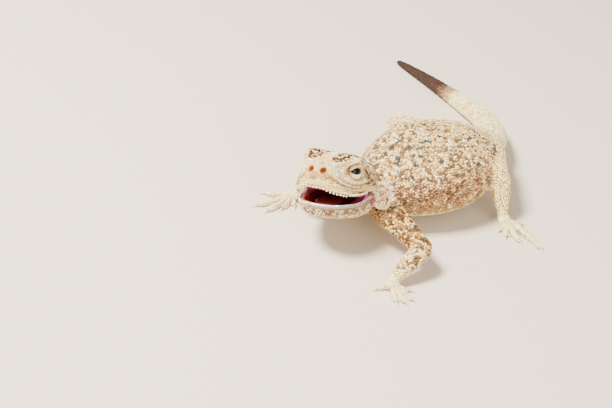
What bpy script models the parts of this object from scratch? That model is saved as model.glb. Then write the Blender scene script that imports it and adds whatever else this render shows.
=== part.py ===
"""A life-size still model of a secret toad-headed agama: head up, mouth open, body flat and round.

The animal is drawn in millimetres in its own frame: -Y is where the trunk faces, +X is the
animal's left and Z = 0 is the ground. Everything is moved at the end by FOOTPRINT_MIDDLE, so that
the origin is the middle of the model's footprint, on the floor.
"""

import math

import bmesh
import bpy
import numpy as np
from mathutils import Matrix, Vector

MM = 0.001
GAP = 0.3
FOOTPRINT_MIDDLE = Vector((-8.36, 15.33, 0.0))

# How the head is held, in degrees, and where the back of its lip plane sits.
HEAD_YAW = 10.0
HEAD_PITCH = 27.0
HEAD_ROLL = -14.0
HEAD_AT = Vector((0.2, -29.0, 13.8))
GAPE = 11.0

# The head's own frame: the lip plane is Z = 0, the snout points to -Y, the neck is at Y = 0.
JAW_HINGE = Vector((0.0, -2.0, 0.5))
NECK_FACE = Vector((0.0, 0.8, 2.5))
NECK_LEAN = 14.0
EYE_AT = Vector((7.7, -15.6, 8.3))
EYE_RADIUS = 2.9
LID_THICKNESS = 0.75
EYE_SLIT = (2.3, 1.25)
LID_EDGE_OUT = 3.5
NOSTRIL_AT = Vector((2.2, -26.4, 7.1))
LIP_RADIUS = 0.75
# The fold that runs over each eye, from the muzzle back: x, y, z in the head's frame.
BROW_EDGE = ((5.6, -22.4, 9.4), (8.0, -19.6, 11.2), (10.0, -15.6, 12.0), (10.6, -11.6, 11.2))

SHOULDER_LEFT = Vector((11.0, -23.0, 12.5))
ELBOW_LEFT = Vector((36.5, -27.4, 9.2))
WRIST_LEFT = Vector((36.7, -42.3, 3.4))
SHOULDER_RIGHT = Vector((-3.0, -21.0, 12.5))
ELBOW_RIGHT = Vector((-24.0, -12.5, 9.5))
WRIST_RIGHT = Vector((-22.3, -30.0, 3.4))
HIP_LEFT = Vector((8.0, 44.0, 11.5))
KNEE_LEFT = Vector((25.6, 27.0, 16.0))
ANKLE_LEFT = Vector((34.6, 22.0, 3.6))
HIP_RIGHT = Vector((0.0, 45.0, 11.5))
KNEE_RIGHT = Vector((-24.3, 24.9, 13.5))
ANKLE_RIGHT = Vector((-29.0, 38.0, 3.6))

# Rows of a swept form: centre x, y, z, then half width, height above and depth below the centre.
TRUNK_ROWS = (
    (4.0, -21.5, 13.4, 11.0, 9.0, 8.8),
    (4.5, -16.0, 13.6, 13.5, 9.8, 9.6),
    (5.0, -7.0, 13.9, 18.0, 11.3, 11.2),
    (5.5, 3.0, 14.0, 21.5, 12.4, 12.1),
    (5.5, 13.0, 13.9, 22.6, 12.6, 12.2),
    (5.2, 23.0, 13.2, 20.2, 11.8, 11.4),
    (4.8, 32.0, 12.4, 15.8, 9.8, 9.8),
    (4.2, 40.0, 11.6, 11.2, 7.6, 8.0),
    (3.3, 47.0, 10.6, 8.6, 6.2, 6.2),
)
TAIL_ROWS = (
    (3.8, 43.5, 11.2, 8.9, 6.4, 6.6),
    (2.4, 51.5, 9.5, 7.4, 5.2, 5.4),
    (-1.5, 58.8, 7.7, 6.4, 4.5, 4.7),
    (-7.5, 65.8, 6.0, 5.7, 4.0, 4.3),
    (-16.0, 71.5, 4.6, 5.2, 3.7, 3.9),
    (-27.5, 75.4, 3.5, 4.6, 3.3, 3.5),
    (-41.5, 78.6, 2.7, 3.8, 2.8, 2.9),
    (-56.5, 81.2, 2.1, 2.9, 2.2, 2.3),
    (-71.0, 83.4, 1.3, 1.7, 1.4, 1.5),
    (-74.0, 83.9, 1.1, 0.5, 0.4, 0.4),
)
TAIL_CUTS = (1.3, 4.6, 6.1)

# Digits of each foot, first to fifth: heading at the palm and at the tip, in degrees from -Y
# towards +X, and length with the claw.
HAND_LEFT_DIGITS = (
    (-66.0, 24.0, 8.2), (48.0, 62.0, 9.6), (74.0, 78.0, 11.0), (100.0, 92.0, 11.0), (140.0, 120.0, 8.4),
)
HAND_RIGHT_DIGITS = (
    (62.0, 46.0, 7.4), (24.0, 12.0, 10.2), (4.0, 2.0, 15.4), (-16.0, -17.0, 17.0), (-60.0, -44.0, 12.4),
)
FOOT_LEFT_DIGITS = (
    (-4.0, 10.0, 6.4), (36.0, 38.0, 8.6), (66.0, 74.0, 12.0), (112.0, 56.0, 19.6), (168.0, 140.0, 9.0),
)
FOOT_RIGHT_DIGITS = (
    (-70.0, -60.0, 7.0), (-92.0, -84.0, 9.6), (-112.0, -108.0, 12.6), (-140.0, -128.0, 17.0),
    (-184.0, -166.0, 10.0),
)
CLAW_LENGTH = 2.7
COMBED_DIGITS = (1, 2, 3)
FLAP_SPINES = 8

SKIN_COLOUR = (0.80, 0.66, 0.47, 1.0)
PALE_COLOUR = (0.88, 0.80, 0.66, 1.0)
BLACK_COLOUR = (0.07, 0.055, 0.05, 1.0)
MOUTH_COLOUR = (0.42, 0.10, 0.10, 1.0)
EYE_COLOUR = (0.05, 0.035, 0.03, 1.0)

BODY = Matrix.Scale(MM, 4) @ Matrix.Translation(-FOOTPRINT_MIDDLE)


def turned(degrees, axis):
    return Matrix.Rotation(math.radians(degrees), 4, axis)


# In the head's frame a turn about X that lowers the snout is positive.
HEAD_IN_BODY = (
    Matrix.Translation(HEAD_AT)
    @ turned(HEAD_YAW, "Z")
    @ turned(-HEAD_PITCH, "X")
    @ turned(HEAD_ROLL, "Y")
)
HEAD = BODY @ HEAD_IN_BODY
JAW = HEAD @ Matrix.Translation(JAW_HINGE) @ turned(GAPE, "X") @ Matrix.Translation(-JAW_HINGE)


# Making and joining closed forms


def clear_scene():
    for obj in list(bpy.data.objects):
        bpy.data.objects.remove(obj)


def new_object(name, bm, frame=BODY):
    """An object from a bmesh in millimetres, placed by frame, facing out and shaded smooth."""
    bmesh.ops.transform(bm, matrix=frame, verts=bm.verts)
    bmesh.ops.recalc_face_normals(bm, faces=bm.faces)
    mesh = bpy.data.meshes.new(name)
    bm.to_mesh(mesh)
    bm.free()
    mesh.shade_smooth()
    obj = bpy.data.objects.new(name, mesh)
    bpy.context.scene.collection.objects.link(obj)
    return obj


def smooth_rows(rows, per_span):
    """The rows with per_span - 1 more between each two, on a Catmull-Rom curve through them."""
    table = np.array(rows, float)
    ends = np.vstack([2 * table[0] - table[1], table, 2 * table[-1] - table[-2]])
    finer = []
    for i in range(len(table) - 1):
        before, here, after, beyond = ends[i : i + 4]
        for t in np.arange(per_span) / per_span:
            finer.append(
                0.5
                * (
                    2 * here
                    + (after - before) * t
                    + (2 * before - 5 * here + 4 * after - beyond) * t**2
                    + (3 * here - before - 3 * after + beyond) * t**3
                )
            )
    return np.array(finer + [table[-1]])


def rounded(value, power):
    """A cosine or sine bent so that the outline it draws is fuller than an ellipse."""
    return math.copysign(abs(value) ** (2.0 / power), value)


def loft(name, rows, sides=20, per_span=2, power=2.2, under=2.2, grow=0.0, frame=BODY, level=(0, 0, 1)):
    """A closed form swept through the rows. grow makes it larger all round, for a cutter."""
    rows = smooth_rows(rows, per_span)
    centres = [Vector(row[:3]) for row in rows]
    bm = bmesh.new()
    rings = []
    for i, row in enumerate(rows):
        along = (centres[min(i + 1, len(rows) - 1)] - centres[max(i - 1, 0)]).normalized()
        if grow and i in (0, len(rows) - 1):
            centres[i] = centres[i] + along * (grow if i else -grow)
        side = along.cross(Vector(level)).normalized()
        up = side.cross(along)
        ring = []
        for k in range(sides):
            angle = 2 * math.pi * k / sides
            high = math.sin(angle) >= 0
            shape = power if high else under
            out = rounded(math.cos(angle), shape) * (row[3] + grow)
            rise = rounded(math.sin(angle), shape) * ((row[4] if high else row[5]) + grow)
            ring.append(bm.verts.new(centres[i] + side * out + up * rise))
        rings.append(ring)
    for first, second in zip(rings, rings[1:]):
        for k in range(sides):
            bm.faces.new((first[k], first[k - 1], second[k - 1], second[k]))
    for ring, centre in ((rings[0], centres[0]), (rings[-1], centres[-1])):
        tip = bm.verts.new(centre)
        for k in range(sides):
            bm.faces.new((ring[k - 1], ring[k], tip))
    return new_object(name, bm, frame)


def bone(name, start, end, swellings, sides=16, level=(0, 0, 1)):
    """A limb's length of flesh: swellings are shares of the way, half widths and half heights."""
    rows = [(*start.lerp(end, share), wide, high, high) for share, wide, high in swellings]
    return loft(name, rows, sides=sides, per_span=2, level=level)


def ridge(name, points, radius, frame=BODY, sides=8):
    """A round bar through the points, to be melted into a skin as a fold."""
    rows = [(*point, radius, radius, radius) for point in points]
    return loft(name, rows, sides=sides, per_span=2, power=2.0, under=2.0, frame=frame)


def ball(name, centre, radii, frame=BODY, sides=20, turn=Matrix.Identity(4)):
    bm = bmesh.new()
    bmesh.ops.create_uvsphere(bm, u_segments=sides, v_segments=sides // 2, radius=1.0)
    place = Matrix.Translation(centre) @ turn @ Matrix.Diagonal((*radii, 1.0))
    bmesh.ops.transform(bm, matrix=place, verts=bm.verts)
    return new_object(name, bm, frame)


def spike(name, root, tip, half_width, half_height, frame=BODY, sides=6, blunt=0.15):
    """A tapered spine or claw from root to tip."""
    bm = bmesh.new()
    along = tip - root
    bmesh.ops.create_cone(
        bm, cap_ends=True, segments=sides, radius1=1.0, radius2=blunt, depth=along.length
    )
    side = along.cross(Vector((0, 0, 1))).normalized()
    up = side.cross(along.normalized())
    turn = Matrix((side, up, along.normalized())).transposed().to_4x4()
    place = Matrix.Translation((root + tip) / 2) @ turn @ Matrix.Diagonal((half_width, half_height, 1, 1))
    bmesh.ops.transform(bm, matrix=place, verts=bm.verts)
    return new_object(name, bm, frame)


def slab(name, point, normal, radius, thickness, frame=BODY, sides=28):
    """A disc centred on point, or on one face if thickness is a (start, end) pair along normal."""
    start, end = thickness if isinstance(thickness, tuple) else (-thickness / 2, thickness / 2)
    normal = Vector(normal).normalized()
    bm = bmesh.new()
    bmesh.ops.create_cone(
        bm, cap_ends=True, segments=sides, radius1=radius, radius2=radius, depth=end - start
    )
    turn = Vector((0, 0, 1)).rotation_difference(normal).to_matrix().to_4x4()
    place = Matrix.Translation(point + normal * (start + end) / 2) @ turn
    bmesh.ops.transform(bm, matrix=place, verts=bm.verts)
    return new_object(name, bm, frame)


def bake(obj):
    """Replaces the object's mesh by what its modifiers make of it."""
    graph = bpy.context.evaluated_depsgraph_get()
    made = bpy.data.meshes.new_from_object(obj.evaluated_get(graph))
    obj.modifiers.clear()
    obj.data = made
    return obj


def boolean(obj, others, operation, solver="EXACT"):
    """Unites the object with the others, or cuts them from it, and removes them."""
    group = bpy.data.collections.new("tools")
    for other in others:
        group.objects.link(other)
    modifier = obj.modifiers.new(operation, "BOOLEAN")
    modifier.operation = operation
    modifier.operand_type = "COLLECTION"
    modifier.collection = group
    modifier.solver = solver
    bake(obj)
    for other in others:
        bpy.data.objects.remove(other)
    bpy.data.collections.remove(group)
    return obj


def united(name, pieces, solver="EXACT"):
    whole = boolean(pieces[0], pieces[1:], "UNION", solver)
    whole.name = name
    return whole


def cut(obj, tools, solver="EXACT"):
    return boolean(obj, tools, "DIFFERENCE", solver)


def one_flesh(name, pieces, voxel, relaxed, triangles):
    """Melts overlapping forms into one skin, eases the joins and thins it to the triangle count."""
    bm = bmesh.new()
    for piece in pieces:
        bm.from_mesh(piece.data)
        bpy.data.objects.remove(piece)
    obj = new_object(name, bm, Matrix.Identity(4))
    remesh = obj.modifiers.new("melt", "REMESH")
    remesh.mode = "VOXEL"
    remesh.voxel_size = voxel * MM
    ease = obj.modifiers.new("ease", "SMOOTH")
    ease.factor = 0.5
    ease.iterations = relaxed
    bake(obj)
    obj.data.calc_loop_triangles()
    thin = obj.modifiers.new("thin", "DECIMATE")
    thin.ratio = triangles / len(obj.data.loop_triangles)
    return bake(obj)


def shells(obj):
    """The mesh's separate closed surfaces, each a list of face indices."""
    bm = bmesh.new()
    bm.from_mesh(obj.data)
    bm.faces.ensure_lookup_table()
    seen = set()
    found = []
    for face in bm.faces:
        if face.index in seen:
            continue
        seen.add(face.index)
        queue = [face]
        shell = []
        while queue:
            here = queue.pop()
            shell.append(here.index)
            for edge in here.edges:
                for near in edge.link_faces:
                    if near.index not in seen:
                        seen.add(near.index)
                        queue.append(near)
        found.append(shell)
    bm.free()
    return found


def copy_of_shell(obj, shell, name):
    bm = bmesh.new()
    bm.from_mesh(obj.data)
    bm.faces.ensure_lookup_table()
    keep = set(shell)
    bmesh.ops.delete(bm, geom=[f for f in bm.faces if f.index not in keep], context="FACES")
    bmesh.ops.triangulate(bm, faces=bm.faces)
    mesh = bpy.data.meshes.new(name)
    bm.to_mesh(mesh)
    bm.free()
    mesh.shade_smooth()
    part = bpy.data.objects.new(name, mesh)
    bpy.context.scene.collection.objects.link(part)
    return part


def largest(obj):
    """Keeps the object's largest closed surface."""
    found = shells(obj)
    if len(found) > 1:
        name = obj.name
        part = copy_of_shell(obj, max(found, key=len), name + "_kept")
        bpy.data.objects.remove(obj)
        part.name = name
        return part
    return obj


def painted(obj, name, colour, roughness=0.7):
    material = bpy.data.materials.get(name) or bpy.data.materials.new(name)
    material.use_nodes = True
    shader = material.node_tree.nodes["Principled BSDF"]
    shader.inputs["Base Color"].default_value = colour
    shader.inputs["Roughness"].default_value = roughness
    obj.data.materials.clear()
    obj.data.materials.append(material)
    obj.data.shade_smooth()
    obj.data.set_sharp_from_angle(angle=math.radians(50))
    return obj


# The head: skull and upper jaw, lower jaw, tongue, eyes and the flaps at the mouth's corners

# Rows in the head's frame, from the snout back: y, height of the centre, half width, top, underside.
# The underside is the upper lip's line, which rises to the mouth's corner.
SKULL_PROFILE = (
    (-26.9, 3.0, 3.0, 5.4, 0.8),
    (-26.2, 3.4, 5.0, 7.6, 0.0),
    (-24.6, 4.0, 7.0, 9.6, -0.4),
    (-22.0, 4.6, 8.8, 11.6, -0.7),
    (-19.0, 5.0, 10.2, 13.1, -0.9),
    (-15.0, 5.5, 11.4, 14.1, -0.9),
    (-11.0, 5.5, 12.3, 14.1, -0.1),
    (-8.0, 5.3, 12.7, 13.5, 1.2),
    (-5.0, 5.0, 12.7, 12.9, 2.6),
    (-2.0, 4.6, 12.2, 12.2, 1.4),
    (2.0, 4.2, 11.0, 11.4, -2.6),
    (7.0, 4.2, 10.0, 11.0, -3.4),
)
# Rows in the lower jaw's frame: y, half width, height of the rim, depth below the lip plane.
JAW_PROFILE = (
    (-26.0, 2.8, -0.1, 2.2),
    (-25.0, 5.4, -0.1, 4.0),
    (-22.6, 7.9, -0.1, 5.2),
    (-19.0, 9.9, -0.1, 6.1),
    (-14.5, 11.5, 0.1, 6.9),
    (-9.5, 12.4, 1.1, 7.6),
    (-6.5, 12.5, 2.2, 7.9),
    (-4.0, 12.3, 3.0, 8.0),
    (-1.0, 11.7, 1.6, 8.0),
    (3.0, 11.0, -0.1, 7.8),
    (7.0, 10.2, -0.1, 7.6),
)


def jaw_form(name, grow=0.0):
    rows = [(0.0, y, -0.9, wide, rim + 0.9, deep - 0.9) for y, wide, rim, deep in JAW_PROFILE]
    return loft(name, rows, sides=20, per_span=2, power=3.2, under=2.3, grow=grow, frame=JAW)


def flap_rows(side):
    """The skin fold at the mouth's corner: a blade that stands out sideways and faces the front."""
    return [
        (side * 11.6, -6.6, 1.6, 0.9, 2.2, 2.6),
        (side * 13.6, -6.2, 1.4, 0.9, 3.6, 4.2),
        (side * 15.6, -5.6, 1.1, 0.8, 4.2, 4.9),
        (side * 17.2, -4.9, 0.8, 0.6, 3.8, 4.4),
        (side * 18.0, -4.4, 0.6, 0.35, 2.8, 3.2),
    ]


def flap_form(name, side, grow=0.0):
    return loft(name, flap_rows(side), sides=14, per_span=1, grow=grow, frame=HEAD)


def neck_normal():
    """The way out of the neck's face, backwards and a little down, in the head's frame."""
    lean = math.radians(NECK_LEAN)
    return Vector((0.0, math.cos(lean), -math.sin(lean)))


def behind_neck_face(name):
    return slab(name, NECK_FACE, neck_normal(), 30.0, (-GAP / 2, 30.0), frame=HEAD)


def make_head():
    rows = [(0.0, y, z, wide, top - z, z - low) for y, z, wide, top, low in SKULL_PROFILE]
    forms = [loft("skull", rows, sides=32, per_span=3, power=2.3, under=3.4, frame=HEAD)]
    forms.append(ball("nose", (0.0, -24.4, 6.0), (4.4, 2.9, 3.1), HEAD))
    forms.append(ball("throat", (0.0, -2.6, -1.0), (10.6, 4.2, 4.0), HEAD))
    forms.append(ridge("lip", lip_line(), LIP_RADIUS, HEAD))
    for side in (-1, 1):
        brow_turn = turned(side * 14.0, "Z") @ turned(side * 12.0, "Y")
        forms.append(ball("brow", (side * 7.6, -15.4, 11.5), (4.1, 5.6, 2.6), HEAD, turn=brow_turn))
        forms.append(ball("cheek", (side * 11.0, -6.0, 3.4), (3.2, 5.4, 4.4), HEAD))
        forms.append(ball("corner", (side * 10.6, -5.2, -1.2), (2.6, 3.8, 3.6), HEAD))
        lid = EYE_RADIUS + GAP + LID_THICKNESS
        forms.append(ball("lids", eye_centre(side), (lid, lid, lid), HEAD))
        forms.append(ridge("lid_edge", lid_edge(side), 0.6, HEAD))
        forms.append(ridge("brow_edge", [(side * x, y, z) for x, y, z in BROW_EDGE], 0.9, HEAD))
    head = one_flesh("head", forms, voxel=0.42, relaxed=5, triangles=2600)
    tools = [jaw_form("jaw_room", GAP), behind_neck_face("neck_room")]
    tools.append(ball("palate", (0.0, -15.6, -0.2), (7.6, 8.6, 3.2), HEAD, sides=20))
    for side in (-1, 1):
        tools.append(flap_form("flap_room", side, GAP))
        tools += eye_tools(side)
        nostril = Vector((side * NOSTRIL_AT.x, NOSTRIL_AT.y, NOSTRIL_AT.z))
        tools.append(ball("nostril", nostril, (0.8, 2.0, 0.85), HEAD, sides=8))
    cut(head, tools)
    return painted(largest(head), "sand_skin", SKIN_COLOUR)


def eye_centre(side):
    return Vector((side * EYE_AT.x, EYE_AT.y, EYE_AT.z))


def eye_look(side):
    """The way the eye looks, and the turn that brings +X there."""
    out = Vector((side, -0.55, 0.12)).normalized()
    return out, Vector((1, 0, 0)).rotation_difference(out).to_matrix().to_4x4()


def lid_edge(side):
    """The ring along which the lids meet the slit."""
    out, turn = eye_look(side)
    ring = []
    for step in range(17):
        angle = 2 * math.pi * step / 16
        local = Vector((0.0, 2.9 * math.cos(angle), 1.75 * math.sin(angle)))
        ring.append(eye_centre(side) + out * (LID_EDGE_OUT - 0.06 * local.y**2) + turn @ local)
    return ring


def lip_line():
    """The upper lip's edge, from one corner of the mouth round the snout to the other."""
    half = [(wide - 0.1, y, low + 0.7) for y, _, wide, _, low in SKULL_PROFILE if y < -4.0]
    return [(-x, y, z) for x, y, z in reversed(half)] + half


def eye_tools(side):
    """Room for the eyeball, and the slit between the lids."""
    centre = eye_centre(side)
    room = EYE_RADIUS + GAP
    out, turn = eye_look(side)
    half_length, half_height = EYE_SLIT
    slit = ball("slit", centre + out * 3.4, (2.4, half_length, half_height), HEAD, 14, turn)
    return [ball("eye_room", centre, (room, room, room), HEAD, sides=14), slit]


def make_eyes():
    for side, name in ((1, "eye_left"), (-1, "eye_right")):
        eye = ball(name, eye_centre(side), (EYE_RADIUS, EYE_RADIUS, EYE_RADIUS), HEAD, sides=14)
        painted(eye, "eye", EYE_COLOUR, 0.08)


def make_jaw():
    jaw = jaw_form("lower_jaw")
    scoop = ball("scoop", (0.0, -14.8, 2.5), (9.6, 10.4, 5.5), JAW, sides=20)
    tools = [scoop, behind_neck_face("neck_room")]
    for side in (-1, 1):
        tools.append(flap_form("flap_room", side, GAP))
    cut(jaw, tools)
    painted(largest(jaw), "sand_skin", SKIN_COLOUR)
    tongue = ball("tongue", (0.0, -14.4, -1.05), (4.8, 6.5, 1.5), JAW, sides=14)
    painted(tongue, "mouth_lining", MOUTH_COLOUR, 0.35)


def make_flap(side, name):
    """One mouth flap, with the fringe of spines that stands along its free edge."""
    forms = [flap_form(name, side)]
    for i in range(FLAP_SPINES):
        angle = math.radians(86.0 - 172.0 * i / (FLAP_SPINES - 1))
        out = math.cos(angle)
        root = Vector((side * (16.4 + 0.8 * out), -5.3 + 0.5 * out, 0.7 + 3.4 * math.sin(angle)))
        way = Vector((side * (0.25 + out), 0.4 * out, math.sin(angle)))
        tip = root + way.normalized() * (2.5 + 0.5 * out)
        forms.append(spike("spine", root, tip, 0.55, 0.45, HEAD, sides=5))
    painted(largest(united(name, forms)), "pale_skin", PALE_COLOUR)


# The body: neck, trunk, tail and limbs, melted into one flesh and then parted with thin cuts


def in_body(point):
    """A point of the head's frame, in the body's."""
    return HEAD_IN_BODY @ point


def neck_rows():
    first = in_body(NECK_FACE - neck_normal() * 3.0)
    second = in_body(NECK_FACE + neck_normal() * 3.0)
    return [
        (*first, 11.2, 9.4, 9.4),
        (*second, 10.3, 8.8, 9.0),
        (3.4, -19.5, 14.2, 10.8, 9.0, 8.8),
        (4.6, -11.0, 13.8, 13.5, 9.4, 9.4),
    ]


# Swellings of a limb's two lengths: share of the way, half width and half height.
UPPER_ARM = (
    (-0.1, 4.6, 4.6), (0.2, 5.4, 5.2), (0.5, 4.6, 4.6), (0.8, 3.9, 3.9), (1.0, 3.5, 3.5), (1.07, 2.2, 2.2),
)
FOREARM = (
    (-0.14, 1.8, 1.8), (-0.02, 3.4, 3.4), (0.25, 3.7, 3.5), (0.6, 3.2, 3.0), (0.9, 2.2, 2.0), (1.2, 2.1, 1.8),
)
THIGH = (
    (-0.1, 4.6, 4.4), (0.15, 6.0, 5.4), (0.5, 5.0, 5.0), (0.8, 4.0, 4.0), (1.0, 3.5, 3.5), (1.07, 2.2, 2.2),
)
SHIN = (
    (-0.14, 2.0, 2.0), (0.0, 3.6, 3.6), (0.3, 4.1, 3.9), (0.65, 3.3, 3.1), (0.92, 2.2, 2.1), (1.2, 2.2, 1.9),
)
# The same for a digit's flesh, with the height of its middle in place of the half height.
DIGIT = ((0.0, 1.3, 1.9), (0.35, 1.3, 2.0), (0.7, 1.15, 1.3), (0.94, 1.05, 0.9), (1.04, 0.6, 0.9))

# Each limb: its joints, its swellings, how far along the first length it leaves the trunk, and the
# radii of the cuts at the trunk, at the bend and at the wrist or ankle.
LIMBS = (
    ("arm_left", SHOULDER_LEFT, ELBOW_LEFT, WRIST_LEFT, UPPER_ARM, FOREARM, 0.33, (7.0, 7.5, 3.8)),
    ("arm_right", SHOULDER_RIGHT, ELBOW_RIGHT, WRIST_RIGHT, UPPER_ARM, FOREARM, 0.6, (6.4, 11.0, 3.8)),
    ("leg_left", HIP_LEFT, KNEE_LEFT, ANKLE_LEFT, THIGH, SHIN, 0.0, (0.0, 8.0, 3.8)),
    ("leg_right", HIP_RIGHT, KNEE_RIGHT, ANKLE_RIGHT, THIGH, SHIN, 0.0, (0.0, 10.0, 3.8)),
)
LIMB_NODES = {
    "arm_left": ("upper_arm_left", "forearm_left"),
    "arm_right": ("upper_arm_right", "forearm_right"),
    "leg_left": ("thigh_left", "shin_left"),
    "leg_right": ("thigh_right", "shin_right"),
}


def tail_point(row):
    """The centre and direction of the tail at a place between two of its rows, and its half width."""
    rows = smooth_rows(TAIL_ROWS, 20)
    i = round(row * 20)
    return Vector(rows[i][:3]), Vector(rows[i + 1][:3] - rows[i - 1][:3]).normalized(), rows[i][3]


REAR_ROWS = TRUNK_ROWS[3:-1] + TAIL_ROWS[1:4]
WALL_STANDOFF = 0.35
NECK_LENGTH = 5.5


def rear_core():
    """The trunk's rear and the tail's root, a little larger than they are."""
    return loft("rear_core", REAR_ROWS, sides=32, per_span=4, power=2.3, under=2.5, grow=WALL_STANDOFF)


def hip_wall():
    """A thin tube round the rear core, open at both ends, which parts the thighs from it."""
    rows = smooth_rows(REAR_ROWS, 4)[3:-3]
    tube = loft("hip_wall", rows, sides=32, per_span=1, power=2.3, under=2.5, grow=WALL_STANDOFF + GAP)
    return cut(tube, [rear_core()])


def neck_cup():
    """A thin cup round the neck, open to the head, which parts it from the torso and shoulders."""

    def tube(name, start, grow):
        rows = []
        for reach, wide, high in ((start, 10.9, 9.2), (NECK_LENGTH, 10.2, 8.9)):
            rows.append((*in_body(NECK_FACE + neck_normal() * reach), wide, high, high))
        return loft(name, rows, sides=28, per_span=1, grow=grow)

    return cut(tube("neck_cup", -2.0, WALL_STANDOFF + GAP), [tube("neck_core", -4.0, WALL_STANDOFF)])


def make_body():
    forms = [
        loft("trunk", TRUNK_ROWS, sides=32, per_span=3, power=2.3, under=2.5),
        loft("neck", neck_rows(), sides=24, per_span=3),
        loft("tail", TAIL_ROWS, sides=20, per_span=3),
    ]
    tools = [slab("head_room", NECK_FACE, neck_normal(), 16.0, (-16.0, GAP / 2), frame=HEAD)]
    tools += [hip_wall(), neck_cup()]
    seats = {"torso": Vector((5.5, 8.0, 14.0)), "neck": in_body(NECK_FACE + neck_normal() * NECK_LENGTH / 2)}
    for limb, root, middle, end, upper, lower, leaves, radii in LIMBS:
        forms.append(bone("upper", root, middle, upper))
        forms.append(bone("lower", middle, end, lower))
        way = (end - middle).normalized()
        if leaves:
            tools.append(slab("root_cut", root.lerp(middle, leaves), middle - root, radii[0], GAP))
        bend = (middle - root).normalized() + way
        bend_cut = slab("bend_cut", middle, bend, radii[1], GAP)
        if limb.startswith("leg"):
            cut(bend_cut, [rear_core()])
        tools.append(bend_cut)
        tools.append(slab("end_cut", end, way, radii[2], (-GAP / 2, 9.0)))
        upper_name, lower_name = LIMB_NODES[limb]
        seats[upper_name] = root.lerp(middle, 0.75)
        seats[lower_name] = middle.lerp(end, 0.5)
    for row in TAIL_CUTS:
        centre, way, wide = tail_point(row)
        tools.append(slab("tail_cut", centre, way, wide + 2.5, GAP))
    for row, name in ((3.0, "tail_base"), (5.4, "tail_middle"), (7.6, "tail_tip")):
        seats[name] = tail_point(row)[0]
    tools.append(slab("floor", Vector((0, 0, 0)), (0, 0, -1), 120.0, (0.0, 10.0)))
    flesh = one_flesh("flesh", forms, voxel=0.8, relaxed=8, triangles=4300)
    cut(flesh, tools)
    parts = shells(flesh)
    taken = []
    for name, seat in seats.items():
        target = BODY @ seat
        nearest = min(range(len(parts)), key=lambda i: (middle_of(flesh, parts[i]) - target).length)
        if nearest in taken:
            raise ValueError(name + " isn't parted from its neighbour")
        taken.append(nearest)
        part = copy_of_shell(flesh, parts[nearest], name)
        tone = ("black_skin", BLACK_COLOUR) if name == "tail_tip" else ("sand_skin", SKIN_COLOUR)
        painted(part, *tone)
    bpy.data.objects.remove(flesh)


def middle_of(obj, shell):
    total = Vector()
    for i in shell:
        total += obj.data.polygons[i].center
    return total / len(shell)


# Hands and feet: palm, digits with claws, and the comb of pointed scales along the toes


def heading(degrees):
    angle = math.radians(degrees)
    return Vector((math.sin(angle), -math.cos(angle), 0.0))


def digit_path(palm, first, last, length):
    """A function that gives the place and heading at a share of a digit that turns evenly."""
    steps = 24
    places = [Vector((palm.x, palm.y, 0.0))]
    for i in range(steps):
        places.append(places[-1] + heading(first + (last - first) * (i + 0.5) / steps) * length / steps)

    def at(share):
        i = min(int(share * steps), steps - 1)
        return places[i].lerp(places[i + 1], share * steps - i), heading(first + (last - first) * share)

    return at


def digit(at, length):
    """A digit's flesh, bent at the knuckle, and its claw."""
    flesh = 1.0 - CLAW_LENGTH / length
    rows = []
    for share, wide, high in DIGIT:
        place, way = at(flesh * share)
        rows.append((*place.xy, high, wide, wide, wide))
    root, way = at(flesh - 0.05)
    tip, way = at(1.0)
    root.z = 1.15
    tip.z = 0.5
    return [loft("digit", rows, sides=7, per_span=1), spike("claw", root, tip, 0.6, 0.7, sides=5)]


def comb(at, length, side):
    """The row of pointed scales on one side of a digit."""
    flesh = length - CLAW_LENGTH
    count = max(3, round(flesh / 2.0))
    forms = []
    for i in range(count):
        share = 0.36 + 0.56 * i / (count - 1)
        place, way = at(share * flesh / length)
        out = Vector((-way.y, way.x, 0.0)) * side
        root = place + out * 0.5
        root.z = 1.35 - 0.5 * share
        tip = root + out * 1.75 + way * 0.7
        tip.z = root.z - 0.1
        forms.append(spike("comb", root, tip, 0.62, 0.3, sides=4, blunt=0.2))
    return forms


def make_foot(name, limb_middle, limb_end, palm_reach, digits, comb_side):
    way = (limb_end - limb_middle).normalized()
    flat = Vector((way.x, way.y, 0.0)).normalized()
    mean = Vector((0.0, 0.0, 0.0))
    for first, _, _ in digits:
        mean += heading(first)
    spread = (flat + mean.normalized() * 1.5).normalized()
    palm = limb_end + flat * 0.6 + spread * palm_reach
    palm.z = 1.7
    rows = [
        (*(limb_end - way * 1.6), 2.2, 1.9, 1.9),
        (*(limb_end + way * 0.4), 2.2, 1.9, 1.9),
        (*((limb_end + palm) / 2), 2.6, 1.8, 2.1),
        (*palm, 2.8, 1.5, 2.0),
        (*(palm + spread * 1.6), 2.0, 1.0, 1.6),
    ]
    forms = [loft(name, rows, sides=14, per_span=1)]
    for i, (first, last, length) in enumerate(digits):
        at = digit_path(palm, first, last, length)
        forms += digit(at, length)
        if i in COMBED_DIGITS:
            forms += comb(at, length, comb_side)
    foot = united(name, forms)
    behind = slab("wrist", limb_end, -way, 9.0, (-GAP / 2, 12.0))
    floor = slab("floor", Vector((*palm.xy, 0.0)), (0, 0, -1), 40.0, (0.0, 10.0))
    cut(foot, [behind, floor])
    return painted(largest(foot), "pale_skin", PALE_COLOUR)


def main():
    clear_scene()
    make_head()
    make_eyes()
    make_jaw()
    make_flap(1, "mouth_flap_left")
    make_flap(-1, "mouth_flap_right")
    make_body()
    make_foot("hand_left", ELBOW_LEFT, WRIST_LEFT, 1.8, HAND_LEFT_DIGITS, 1)
    make_foot("hand_right", ELBOW_RIGHT, WRIST_RIGHT, 2.6, HAND_RIGHT_DIGITS, -1)
    make_foot("foot_left", KNEE_LEFT, ANKLE_LEFT, 3.0, FOOT_LEFT_DIGITS, 1)
    make_foot("foot_right", KNEE_RIGHT, ANKLE_RIGHT, 3.0, FOOT_RIGHT_DIGITS, -1)


main()
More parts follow.
